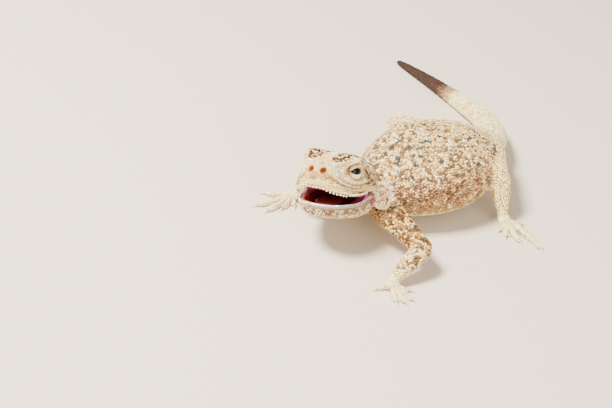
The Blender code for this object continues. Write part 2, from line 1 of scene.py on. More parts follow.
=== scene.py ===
import math

import bpy
import numpy as np
from mathutils import Matrix, Vector
from mathutils.bvhtree import BVHTree
from mathutils.kdtree import KDTree


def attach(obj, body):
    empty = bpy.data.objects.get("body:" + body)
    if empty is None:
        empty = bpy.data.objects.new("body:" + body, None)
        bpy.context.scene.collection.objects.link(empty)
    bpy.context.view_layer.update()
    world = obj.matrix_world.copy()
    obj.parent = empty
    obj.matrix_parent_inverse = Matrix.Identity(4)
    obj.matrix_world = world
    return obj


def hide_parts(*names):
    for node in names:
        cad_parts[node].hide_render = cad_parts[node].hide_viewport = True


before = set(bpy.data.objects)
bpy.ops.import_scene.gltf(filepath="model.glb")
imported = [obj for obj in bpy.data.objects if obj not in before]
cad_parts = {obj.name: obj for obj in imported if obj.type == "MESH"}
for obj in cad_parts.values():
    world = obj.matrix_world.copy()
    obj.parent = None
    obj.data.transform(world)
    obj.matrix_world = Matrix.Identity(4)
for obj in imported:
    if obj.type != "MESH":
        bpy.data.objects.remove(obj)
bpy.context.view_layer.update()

# The hide
# One loose dry skin covers the lizard from its lips to its claws. It is cast from the solids: copies
# of them are grown until their seams close, melted into one and drawn in by the depth of the scales.
MM = 0.001
FOOTPRINT_MIDDLE = Vector((-8.36, 15.33, 0.0))
# How far the copies are grown, and the width of the cells in which they melt, in millimetres.
GROWN = 0.3
VOXEL = 0.52
CAST_NODES = (
    "head", "lower_jaw", "neck", "torso", "tail_base", "tail_middle", "tail_tip",
    "upper_arm_left", "upper_arm_right", "forearm_left", "forearm_right",
    "thigh_left", "thigh_right", "shin_left", "shin_right",
)
# Each limb's joints in millimetres from the animal's own origin, with -Y the way the trunk faces.
LIMBS = {
    "arm_left": ((11.0, -23.0, 12.5), (36.5, -27.4, 9.2), (36.7, -42.3, 3.4)),
    "arm_right": ((-3.0, -21.0, 12.5), (-24.0, -12.5, 9.5), (-22.3, -30.0, 3.4)),
    "leg_left": ((8.0, 44.0, 11.5), (25.6, 27.0, 16.0), (34.6, 22.0, 3.6)),
    "leg_right": ((0.0, 45.0, 11.5), (-24.3, 24.9, 13.5), (-29.0, 38.0, 3.6)),
}
# Each foot: the node, its limb, how far the palm spreads, the side of its comb, and its digits, first
# to fifth, as heading at the palm and at the tip in degrees from -Y towards +X, and length with claw.
FEET = (
    ("hand_left", "arm_left", 1.8, 1,
     ((-66, 24, 8.2), (48, 62, 9.6), (74, 78, 11.0), (100, 92, 11.0), (140, 120, 8.4))),
    ("hand_right", "arm_right", 2.6, -1,
     ((62, 46, 7.4), (24, 12, 10.2), (4, 2, 15.4), (-16, -17, 17.0), (-60, -44, 12.4))),
    ("foot_left", "leg_left", 3.0, 1,
     ((-4, 10, 6.4), (36, 38, 8.6), (66, 74, 12.0), (112, 56, 19.6), (168, 140, 9.0))),
    ("foot_right", "leg_right", 3.0, -1,
     ((-70, -60, 7.0), (-92, -84, 9.6), (-112, -108, 12.6), (-140, -128, 17.0), (-184, -166, 10.0))),
)
PALM_HEIGHT = 1.7
HIND_DIGITS_STOUTER = 1.28
CLAW_LENGTH = 2.7
# A digit's flesh: share of the way from the palm, half width, and height of its middle.
DIGIT_ROWS = (
    (0.0, 1.05, 1.6), (0.25, 0.98, 1.7), (0.6, 0.82, 1.1), (0.9, 0.68, 0.78), (1.02, 0.36, 0.75),
)
# The skin fold at the mouth's corner, out along X in the head's frame: x, y, z, then half sizes.
FLAP = (
    (11.6, -6.6, 1.6, 0.9, 2.4), (13.6, -6.2, 1.4, 0.9, 3.9), (15.6, -5.6, 1.1, 0.8, 4.6),
    (17.2, -4.9, 0.8, 0.6, 4.1), (18.0, -4.4, 0.6, 0.35, 3.0),
)
BODY = Matrix.Scale(MM, 4) @ Matrix.Translation(-FOOTPRINT_MIDDLE)


def turned(degrees, axis):
    return Matrix.Rotation(math.radians(degrees), 4, axis)


# The head's frame: the lips meet in the plane Z = 0, the snout points to -Y, the neck is at Y = 0.
# The lower jaw's frame is the head's, swung open about the hinge.
HEAD = (
    BODY @ Matrix.Translation((0.2, -29.0, 13.8)) @ turned(10, "Z") @ turned(-27, "X") @ turned(-14, "Y")
)
JAW_HINGE = Vector((0.0, -2.0, 0.5))
JAW = HEAD @ Matrix.Translation(JAW_HINGE) @ turned(11, "X") @ Matrix.Translation(-JAW_HINGE)
EYE_AT = Vector((7.7, -15.6, 8.3))
# From the middle of the eye to the skin that covers it, and to the skin sunk behind the ball's front.
SOCKET_RADIUS = 3.3
SUNK_RADIUS = 2.6
# Half the length and height of the slit between the lids.
SLIT = (2.4, 1.4)
SIDES = ((1, "left"), (-1, "right"))


def hold(*objects):
    """Selects these objects alone and makes the first one active."""
    for other in bpy.context.selected_objects:
        other.select_set(False)
    for obj in objects:
        obj.select_set(True)
    bpy.context.view_layer.objects.active = objects[0]


def new_piece(name, mesh):
    obj = bpy.data.objects.new(name, mesh)
    bpy.context.scene.collection.objects.link(obj)
    return obj


def finish_with(obj, kind, **settings):
    """Adds a modifier with these settings and applies it."""
    modifier = obj.modifiers.new(kind, kind)
    for key, value in settings.items():
        setattr(modifier, key, value)
    hold(obj)
    bpy.ops.object.modifier_apply(modifier=modifier.name)


def face_outward(obj):
    """Turns a closed mesh's faces to look out of it, and shades them smooth."""
    hold(obj)
    bpy.ops.object.mode_set(mode="EDIT")
    bpy.ops.mesh.select_all(action="SELECT")
    bpy.ops.mesh.normals_make_consistent(inside=False)
    bpy.ops.object.mode_set(mode="OBJECT")
    bpy.ops.object.shade_smooth()


def eased(rows, per_span):
    """More rows on a smooth curve through these."""
    table = np.array(rows, float)
    ends = np.vstack([2 * table[0] - table[1], table, 2 * table[-1] - table[-2]])
    finer = []
    for i in range(len(table) - 1):
        before, here, after, beyond = ends[i : i + 4]
        for t in np.arange(per_span) / per_span:
            finer.append(0.5 * (
                2 * here
                + (after - before) * t
                + (2 * before - 5 * here + 4 * after - beyond) * t**2
                + (3 * here - before - 3 * after + beyond) * t**3
            ))
    return np.array(finer + [table[-1]])


def swept(name, rows, sides, place=BODY, level=(0, 0, 1)):
    """A closed form drawn along rows of x, y, z, half width and half height, in millimetres."""
    centres = [Vector(row[:3]) for row in rows]
    points = []
    for i, row in enumerate(rows):
        along = (centres[min(i + 1, len(rows) - 1)] - centres[max(i - 1, 0)]).normalized()
        side = along.cross(Vector(level)).normalized()
        up = side.cross(along)
        for k in range(sides):
            angle = 2 * math.pi * k / sides
            points.append(centres[i] + side * (row[3] * math.cos(angle)) + up * (row[4] * math.sin(angle)))
    faces = []
    for ring in range(len(rows) - 1):
        for k in range(sides):
            here, near = ring * sides + k, ring * sides + (k + 1) % sides
            faces.append((here, near, near + sides, here + sides))
    faces.append(tuple(reversed(range(sides))))
    faces.append(tuple(range(len(points) - sides, len(points))))
    mesh = bpy.data.meshes.new(name)
    mesh.from_pydata([place @ point for point in points], [], faces)
    obj = new_piece(name, mesh)
    face_outward(obj)
    return obj


def grown(rows):
    return [(*row[:3], row[3] + GROWN, row[4] + GROWN) for row in rows]


def heading(degrees):
    angle = math.radians(degrees)
    return Vector((math.sin(angle), -math.cos(angle), 0.0))


def digit_line(palm, first, last, length):
    """A function that gives the place and heading at a share of a digit that turns evenly."""
    steps = 24
    places = [Vector((palm.x, palm.y, 0.0))]
    for i in range(steps):
        places.append(places[-1] + heading(first + (last - first) * (i + 0.5) / steps) * length / steps)

    def at(share):
        i = min(int(share * steps), steps - 1)
        return places[i].lerp(places[i + 1], share * steps - i), heading(first + (last - first) * share)

    return at


def eye_at(side):
    return Vector((side * EYE_AT.x, EYE_AT.y, EYE_AT.z))


# Digits found on the way, for the combs and claws: place in the foot, line, length, comb side.
digits = []
# Lines that the scales of each node follow, root to tip or snout to tail, in millimetres.
lines = {}
casts = [new_piece(node + "_cast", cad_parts[node].data.copy()) for node in CAST_NODES]
hold(*casts)
bpy.ops.object.join()
cast = bpy.context.view_layer.objects.active
bpy.ops.object.mode_set(mode="EDIT")
bpy.ops.mesh.select_all(action="SELECT")
bpy.ops.mesh.remove_doubles(threshold=0.01 * MM)
bpy.ops.object.mode_set(mode="OBJECT")
finish_with(cast, "DISPLACE", strength=GROWN * MM, mid_level=0.0)

rebuilt = []
toe_skins = []
for foot, limb, reach, comb_side, toes in FEET:
    bend, end = Vector(LIMBS[limb][1]), Vector(LIMBS[limb][2])
    way = (end - bend).normalized()
    flat = Vector((way.x, way.y, 0.0)).normalized()
    mean = sum((heading(toe[0]) for toe in toes), Vector())
    spread = (flat + mean.normalized() * 1.5).normalized()
    palm = end + flat * 0.6 + spread * reach
    palm.z = PALM_HEIGHT
    rows = [
        (*(end - way * 1.6), 2.2, 1.9), (*(end + way * 0.4), 2.2, 1.9),
        (*((end + palm) / 2), 2.6, 1.9), (*palm, 2.8, 1.7), (*(palm + spread * 1.6), 2.0, 1.3),
    ]
    rebuilt.append(swept(foot + "_palm", grown(rows), 16))
    lines[foot] = [[end - way * 2.0, palm]]
    stout = HIND_DIGITS_STOUTER if foot.startswith("foot") else 1.0
    for i, (first, last, length) in enumerate(toes):
        at = digit_line(palm, first, last, length)
        digits.append((i, at, length, comb_side))
        flesh = 1.0 - CLAW_LENGTH / length
        rows = []
        for share, wide, high in eased(DIGIT_ROWS, 5):
            joint = stout * (1.0 + 0.07 * math.cos(share * length * 2.1))
            rows.append((*at(flesh * share)[0].xy, high * stout, wide * joint, wide * joint * 0.95))
        toe_skins.append(swept(foot + "_digit", rows, 12))
        lines[foot].append([Vector((*at(flesh * s / 8)[0].xy, 1.2)) for s in range(9)])
for side, word in SIDES:
    rows = grown([(side * x, y, z, thick, high) for x, y, z, thick, high in FLAP])
    rebuilt.append(swept("mouth_flap_blade", eased(rows, 3), 20, HEAD))
    lines["mouth_flap_" + word] = [[FOOTPRINT_MIDDLE + (HEAD @ Vector(r[:3])) / MM for r in rows]]
    bpy.ops.mesh.primitive_uv_sphere_add(radius=(SOCKET_RADIUS + GROWN) * MM, location=HEAD @ eye_at(side))
    bpy.ops.object.transform_apply()
    rebuilt.append(bpy.context.view_layer.objects.active)

hold(cast, *rebuilt)
bpy.ops.object.join()
skin = bpy.context.view_layer.objects.active
skin.name = "skin"
skin.data.name = "skin"
skin.data.materials.clear()
finish_with(skin, "REMESH", mode="VOXEL", voxel_size=VOXEL * MM, use_smooth_shade=True)
finish_with(skin, "SMOOTH", factor=0.5, iterations=3)

# Every point of the skin belongs to the node that lies nearest.
NODES = sorted(
    (*CAST_NODES, "mouth_flap_left", "mouth_flap_right", "hand_left", "hand_right", "foot_left", "foot_right")
)
cad_points, cad_faces, cad_owner = [], [], []
for index, node in enumerate(NODES):
    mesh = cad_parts[node].data
    start = len(cad_points)
    cad_points += [v.co.copy() for v in mesh.vertices]
    for face in mesh.polygons:
        cad_faces.append([start + v for v in face.vertices])
        cad_owner.append(index)
cad_tree = BVHTree.FromPolygons(cad_points, cad_faces)


def read(rows, what="co"):
    """What each row of a mesh's data holds, three numbers each, as an array."""
    flat_list = np.zeros(len(rows) * 3, np.float32)
    rows.foreach_get(what, flat_list)
    return flat_list.reshape(-1, 3).astype(float)


def move_points(obj, points):
    obj.data.vertices.foreach_set("co", points.astype(np.float32).ravel())


def owners_of(points):
    return np.array([cad_owner[cad_tree.find_nearest(point)[2]] for point in points])


def on_node(owner, *names):
    return np.isin(owner, [NODES.index(name) for name in names])


def by_node(table, other):
    """For each node in turn, what the table holds for the start of its name."""
    return [next((row for key, row in table.items() if name.startswith(key)), other) for name in NODES]


def through(matrix, points):
    """Points carried through a 4 x 4 matrix."""
    table = np.array(matrix)
    return points @ table[:3, :3].T + table[:3, 3]


def between(value, low, high):
    """0 up to low, 1 from high on, and a soft step between."""
    t = np.clip((value - low) / (high - low), 0.0, 1.0)
    return t * t * (3 - 2 * t)


def within(value, low, high):
    return (value > low) & (value < high)


def frame_of_eye(side):
    """The ways an eye lies forward and up, and the way it looks, in the head's frame."""
    look = Vector((side, -0.55, 0.12)).normalized()
    ahead = Vector((0, -1, 0)) + look * look.y
    ahead.normalize()
    return np.array((ahead, ahead.cross(look) * side, look))


def in_head(points):
    """World points in the head's frame, in millimetres."""
    return through(HEAD.inverted(), points)


def in_jaw(points):
    return through(JAW.inverted(), points)


def in_animal(points):
    return through(BODY.inverted(), points)


def seen_by_eye(head_points, side):
    """Points of the head's frame along, up and out from an eye."""
    return (head_points - np.array(eye_at(side))) @ frame_of_eye(side).T


# The upper lip's edge in the head's frame: y, half width and height, from the snout to the corner,
# and the lower lip's in the jaw's.
UPPER_LIP = (
    (-26.9, 3.0, 0.8), (-26.2, 5.0, 0.3), (-24.6, 7.0, 0.0), (-22.0, 8.8, -0.1), (-19.0, 10.2, 0.0),
    (-15.0, 11.4, 0.5), (-11.0, 12.3, 1.6), (-8.0, 12.7, 2.5), (-5.0, 12.7, 3.2),
)
LOWER_LIP = (
    (-26.0, 2.8, -0.1), (-25.0, 5.4, -0.1), (-22.6, 7.9, -0.1), (-19.0, 9.9, -0.1), (-14.5, 11.5, 0.1),
    (-9.5, 12.4, 1.1), (-6.5, 12.5, 2.2), (-4.0, 12.3, 3.0),
)
NOSTRIL_AT = np.array([2.25, -26.1, 6.9])


def nostril_gap(head_points, side):
    """How far points of the head's frame are from a nostril, which is round."""
    return np.linalg.norm((head_points - NOSTRIL_AT * [side, 1, 1]) * [1.05, 0.5, 1.05], axis=1)


def on_lip(lip, y):
    """A lip's half width and its edge's height at each y."""
    at, *columns = np.array(lip).T
    return [np.interp(y, at, column) for column in columns]


# The face is cut finer before it is shaped: round the eyes, at the nostrils and along the lips.
FINE_ROUND_EYE, FINE_ROUND_NOSTRIL, FINE_AT_LIP = 6.6, 2.6, 0.9
head = in_head(read(skin.data.polygons, "center"))
side = np.abs(head[:, 0])
lip_wide, lip_edge = on_lip(UPPER_LIP, head[:, 1])
fine = np.zeros(len(head), bool)
for sign, _ in SIDES:
    fine |= np.linalg.norm(head - np.array(eye_at(sign)), axis=1) < FINE_ROUND_EYE
    fine |= np.linalg.norm(head - NOSTRIL_AT * [sign, 1, 1], axis=1) < FINE_ROUND_NOSTRIL
on_rim = (np.abs(head[:, 2] - lip_edge) < FINE_AT_LIP) & (side > lip_wide - 1.6)
fine |= on_rim & (side < 14.0) & (head[:, 1] < -5.0)
skin.data.polygons.foreach_set("select", fine)
hold(skin)
bpy.ops.object.mode_set(mode="EDIT")
bpy.context.tool_settings.mesh_select_mode = (False, False, True)
bpy.ops.mesh.subdivide(number_cuts=1)
bpy.ops.mesh.vertices_smooth(factor=0.5, repeat=2)
bpy.ops.object.mode_set(mode="OBJECT")

# How deep the scales lie over the skin, by what they cover.
COAT_DEPTH = {"head": 0.2, "lower_jaw": 0.2, "mouth": 0.15, "hand": 0.12, "foot": 0.12}
place = read(skin.data.vertices)
out = read(skin.data.vertex_normals, "vector")
owner = owners_of(place)
BODY_COAT_DEPTH = 0.27
depth = np.array(by_node(COAT_DEPTH, BODY_COAT_DEPTH))
place = place - out * (GROWN + depth[owner])[:, None] * MM

# The folds of the head: brow, lids, the creases under the eye, the ridge from eye to nostril, and the
# pits of the eyes and nostrils, pushed in or out along the skin.
BROW = ((5.6, -22.4, 9.6), (7.0, -20.6, 10.8), (8.8, -18.0, 11.8), (10.2, -15.0, 12.0), (10.6, -11.6, 11.2))
SNOUT_RIDGE = ((3.2, -25.6, 8.6), (4.4, -24.0, 9.2), (5.8, -21.6, 9.8))


def ridge(distance, width):
    """The height of a soft ridge one high, at a distance from its line."""
    return np.exp(-((distance / width) ** 2))


def ridges(gap, *rows):
    """The height of several ridges: each row is a height, a distance from the middle and a width."""
    return sum(height * ridge(gap - at, width) for height, at, width in rows)


def slit_gap(eye, wider=0.0):
    """How far points lie from the middle of the slit between the lids, with 1 at its rim."""
    return np.hypot((eye[:, 0] - 0.15) / (SLIT[0] + wider), (eye[:, 1] + 0.05) / (SLIT[1] + wider))


def lid_gaps(eye):
    """How far points lie from an eye, for the crease over it, the one under it and the bags below."""
    over = np.hypot((eye[:, 0] + 0.2) * 0.74, eye[:, 1] * 1.05)
    under = np.hypot(eye[:, 0] - 0.3, eye[:, 1])
    bag = np.hypot((eye[:, 0] - 0.5) * 0.5, eye[:, 1])
    return over, under, bag


def far_from(points, line, sign):
    """How far points are from a line on one side of the head, in millimetres."""
    steps = eased([(sign * x, y, z) for x, y, z in line], 6)
    return np.sqrt(((points[:, None, :] - steps[None]) ** 2).sum(axis=2).min(axis=1))


def drawn_in(place, sign, radius, rise, inner, outer, reach):
    """Points in front of an eye, drawn in to a radius that may rise beyond the slit's rim.

    They are drawn wholly up to the inner slit gap and not at all from the outer one or the reach on.
    """
    eye = seen_by_eye(in_head(place), sign)
    slit, far = slit_gap(eye), np.linalg.norm(eye, axis=1)
    cap = radius + rise * between(slit, 1.0, 2.0)
    share = (1 - between(slit, inner, outer)) * (eye[:, 2] > 0) * (far < reach)
    centre = np.array(HEAD @ eye_at(sign))
    return place - (place - centre) * (share * np.maximum(far - cap, 0.0) / np.maximum(far, 0.1))[:, None]


for sign, _ in SIDES:
    place = drawn_in(place, sign, SOCKET_RADIUS, 0.35, 1.5, 2.5, 7.0)
on_head = np.flatnonzero(on_node(owner, "head"))
head = in_head(place[on_head])
raised = np.zeros(len(on_head))
for sign, _ in SIDES:
    raised += 0.5 * ridge(far_from(head, BROW, sign), 0.75)
    raised += 0.3 * ridge(far_from(head, SNOUT_RIDGE, sign), 0.8)
    eye = seen_by_eye(head, sign)
    ahead, rise, outward = eye.T
    near_eye = within(outward, -1.5, 7.0)
    over, under, bag = lid_gaps(eye)
    above = near_eye * between(rise, -0.4, 0.8) * between(ahead, -3.4, -1.0)
    below = near_eye * between(rise, 0.0, -1.2) * between(ahead, -3.0, -1.2)
    wide = near_eye * between(rise, -1.5, -3.0)
    raised += above * ridges(over, (0.3, 2.1, 0.4), (-0.6, 2.75, 0.24), (0.35, 3.4, 0.3))
    raised += below * ridges(under, (0.25, 2.4, 0.5), (-0.55, 3.2, 0.24))
    raised += wide * ridges(bag, (0.4, 4.0, 0.4), (-0.4, 4.8, 0.22), (0.3, 5.3, 0.3))
    raised -= wide * 0.4 * ridge(bag - 5.9, 0.2)
    nostril = nostril_gap(head, sign)
    raised += 0.25 * ridge(nostril - 1.6, 0.25) - 1.2 * between(nostril, 1.3, 0.7)
dip = ridge(head[:, 0] - 0.4, 1.3)
raised -= 0.35 * dip * between(head[:, 2], 9.0, 11.0) * between(head[:, 1], -9.0, -13.0)
place[on_head] += out[on_head] * raised[:, None] * MM
for sign, _ in SIDES:
    place = drawn_in(place, sign, SUNK_RADIUS, 0.0, 0.88, 1.1, 6.0)

# The upper lip's rim is drawn up to the line of its edge, which rises towards the corner.
head = in_head(place)
lip_wide, lip_edge = on_lip(UPPER_LIP, head[:, 1])
edge = lip_edge - 0.1
hanging = on_node(owner, "head") & (head[:, 2] < edge)
hanging &= np.abs(head[:, 0]) > lip_wide - 3.0
drawn = hanging * 0.88 * between(head[:, 1], -6.5, -9.5)
head[:, 2] += drawn * (edge - head[:, 2])
place = np.where(hanging[:, None], through(HEAD, head), place)

# Loose skin lies in folds: across the neck and throat, and up and down the rear of the flanks.
animal = in_animal(place)
near_neck = ridge(animal[:, 1] + 25.0, 7.0) * on_node(owner, "torso", "neck")
wave = np.sin(animal[:, 1] * 1.9 + 0.6 * np.sin(animal[:, 0] * 0.5) + 0.3 * animal[:, 2])
place += out * (0.22 * near_neck * wave)[:, None] * MM
flank = on_node(owner, "torso") * between(out[:, 2], 0.8, 0.45) * between(out[:, 2], -0.5, -0.1)
crease = np.sin(animal[:, 1] * 1.7 + 1.5 * np.sin(animal[:, 2] * 0.35) + 0.8 * np.sin(animal[:, 1] * 0.23))
place += out * (0.2 * flank * crease * between(animal[:, 1], -4.0, 12.0))[:, None] * MM
LOWEST_SKIN = 0.12
place[:, 2] = np.maximum(place[:, 2], LOWEST_SKIN * MM)
move_points(skin, place)
skin.data.update()
hold(skin, *toe_skins)
bpy.ops.object.join()
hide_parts(*NODES)
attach(skin, "root")

# The markings
# The colours of the living skin, the same on the hide and on the scales over it. They are worked out
# for any point from where it lies on the animal: sand, with specks and spots as small as one scale.
CREAM, SAND, TAN = "F6E0AE", "E8C284", "C08C48"
BROWN, UMBER, WHITE = "8A5A34", "553318", "FDF6EA"


def linear(colour):
    """An sRGB hex colour as linear red, green and blue."""
    parts = np.array([int(colour[i : i + 2], 16) for i in (0, 2, 4)]) / 255.0
    return np.where(parts <= 0.04045, parts / 12.92, ((parts + 0.055) / 1.055) ** 2.4)


def hashed(cells, seed):
    """A steady number from 0 to 1 for each row of three whole numbers."""
    number = cells @ np.array([73856093, 19349663, 83492791], np.int64) + seed * 40503
    number = (number ^ (number >> 13)) * 1274126177
    number = (number ^ (number >> 16)) & 0x7FFFFFFF
    return (number % 1000003) / 1000003.0


def cloudy(points, size, seed):
    """Soft patches of a size in millimetres, from 0 to 1."""
    base = np.floor(points / size).astype(np.int64)
    t = points / size - base
    t = t * t * (3 - 2 * t)
    total = np.zeros(len(points))
    for corner in np.ndindex(2, 2, 2):
        weight = np.prod(np.where(np.array(corner) == 1, t, 1 - t), axis=1)
        total += weight * hashed(base + np.array(corner), seed)
    return total


def nearest_spot(points, spacing, seed):
    """How far off the nearest of a scatter of spots is, in millimetres, and that spot's own number."""
    base = np.floor(points / spacing).astype(np.int64)
    best = np.full(len(points), 1e9)
    number = np.zeros(len(points))
    for step in np.ndindex(3, 3, 3):
        cell = base + np.array(step) - 1
        spot = (cell + np.stack([hashed(cell, seed + k) for k in range(3)], axis=1)) * spacing
        away = np.linalg.norm(points - spot, axis=1)
        closer = away < best
        best[closer] = away[closer]
        number[closer] = hashed(cell, seed + 9)[closer]
    return best, number


def mixed(first, second, share):
    """The first colours, carried towards the second by a share for each point."""
    share = np.clip(np.broadcast_to(share, len(first)), 0.0, 1.0)[:, None]
    return first * (1 - share) + second * share


def tinted(colours, tint, share):
    return mixed(colours, linear(tint), share)


def layered(points, base, *layers):
    """A base colour at each point, with a tint laid over it by its share for each of the layers."""
    colours = np.tile(linear(base), (len(points), 1))
    for tint, share in layers:
        colours = tinted(colours, tint, share)
    return colours


# The tail's line, from the hip to the tip.
TAIL_LINE = (
    (3.8, 43.5, 11.2), (2.4, 51.5, 9.5), (-1.5, 58.8, 7.7), (-7.5, 65.8, 6.0), (-16.0, 71.5, 4.6),
    (-27.5, 75.4, 3.5), (-41.5, 78.6, 2.7), (-56.5, 81.2, 2.1), (-71.0, 83.4, 1.3), (-74.0, 83.9, 1.1),
)
TRUNK_LINE = ((4.0, -21.5, 13.4), (5.0, -7.0, 13.9), (5.5, 13.0, 13.9), (4.8, 32.0, 12.4), (3.3, 47.0, 10.6))


def is_in_mouth(points, ways_out):
    """Whether points line the mouth: its palate and floor, and what faces in behind the lips."""
    head, jaw = in_head(points), in_jaw(points)
    side = np.abs(head[:, 0])
    upper_wide, upper_edge = on_lip(UPPER_LIP, head[:, 1])
    lower_wide, lower_edge = on_lip(LOWER_LIP, jaw[:, 1])
    floor = np.linalg.norm((jaw - [0.0, -14.8, 2.5]) / [10.2, 11.0, 6.1], axis=1) < 1.0
    floor &= head[:, 2] < upper_edge + 4.5
    palate = np.linalg.norm((head - [0.0, -15.6, -0.2]) / [8.4, 9.4, 4.0], axis=1) < 1.0
    under = (head[:, 2] < upper_edge + 0.9) & (head[:, 1] > -25.6) & (side < upper_wide - 0.9)
    over = (jaw[:, 2] > lower_edge - 0.8) & (jaw[:, 1] > -24.6) & (side < lower_wide - 0.6)
    to_middle = [0.0, -13.0, 2.0] - jaw
    facing = ((in_jaw(points + ways_out * MM) - jaw) * to_middle).sum(axis=1)
    facing /= np.linalg.norm(to_middle, axis=1)
    behind = (facing > 0.1) & (side < lower_wide + 0.6) & (jaw[:, 1] > -26.2)
    behind &= (jaw[:, 2] > -4.0) & (head[:, 2] < upper_edge + 0.5)
    inside = floor | palate | (under & over) | behind
    return inside & (head[:, 1] < -1.5) & (jaw[:, 2] > -4.8)


def unit(rows):
    """Directions made one long."""
    return rows / np.linalg.norm(rows, axis=1)[:, None]


def lengths_to(steps):
    """How far along a line each of its steps lies."""
    return np.concatenate([[0.0], np.cumsum(np.linalg.norm(np.diff(steps, axis=0), axis=1))])


def along_line(points, line):
    """For each point its share of the way along a line, and the line's direction and place there."""
    steps = eased(line, 8) if len(line) > 2 else np.linspace(line[0], line[1], 9)
    ways, lengths = unit(np.gradient(steps, axis=0)), lengths_to(steps)
    near = np.argmin(((points[:, None, :] - steps[None]) ** 2).sum(axis=2), axis=1)
    return lengths[near] / lengths[-1], ways[near], steps[near]


def trunk_markings(p, up):
    """Sand with cream spots and slate specks above, a rosy brown net on the flanks, pale below."""
    patch = cloudy(p, 4.0, 11)
    away, number = nearest_spot(p, 2.3, 13)
    fine = nearest_spot(p, 1.1, 17)[1]
    pale, pale_number = nearest_spot(p, 4.6, 47)
    middle = between(np.abs(p[:, 0] - 6.0), 17.0, 10.0)
    dark, dark_number = nearest_spot(p, 2.8, 31)
    size = 0.45 + 0.95 * dark_number
    slate = (dark_number < 0.72 + 0.2 * patch) * between(dark, size * 1.1, size * 0.8)
    flank = between(up + 0.25 * (patch - 0.5), 0.85, 0.5) * between(up, -0.6, -0.25)
    cell = nearest_spot(p * [1.0, 1.0, 0.6], 2.2, 19)[0]
    net = between(cell, 0.62, 0.85) * (1 - 0.5 * between(p[:, 1], 10.0, 26.0))
    low = between(up, 0.1, -0.2)
    return layered(
        p, "DDBB80",
        ("AA844E", (fine > 0.66) * 0.8),
        ("86663A", (fine > 0.86) * 0.7),
        ("44342A", (fine < 0.27) * between(patch, 0.1, 0.35) * 0.9),
        (CREAM, between(away, 0.95, 0.7) * 0.9),
        (WHITE, (number > 0.65) * between(away, 0.8, 0.5) * 0.6),
        ("CFE6F0", (pale_number > 0.55) * between(pale, 1.1, 0.8) * middle * 0.7),
        ("1C3048", slate * 0.95),
        ("F2D9A2", flank * (1 - net) * 0.85),
        ("90603E", flank * net * (0.55 + 0.3 * between(patch, 0.3, 0.6))),
        (UMBER, flank * net * (fine < 0.25) * 0.7),
        (TAN, flank * net * (fine > 0.7) * 0.6),
        ("A87E44", low * net * 0.75),
        ("EFD296", low * (1 - net) * 0.6),
        ("FAEBCB", between(up, -0.5, -0.8)),
    )


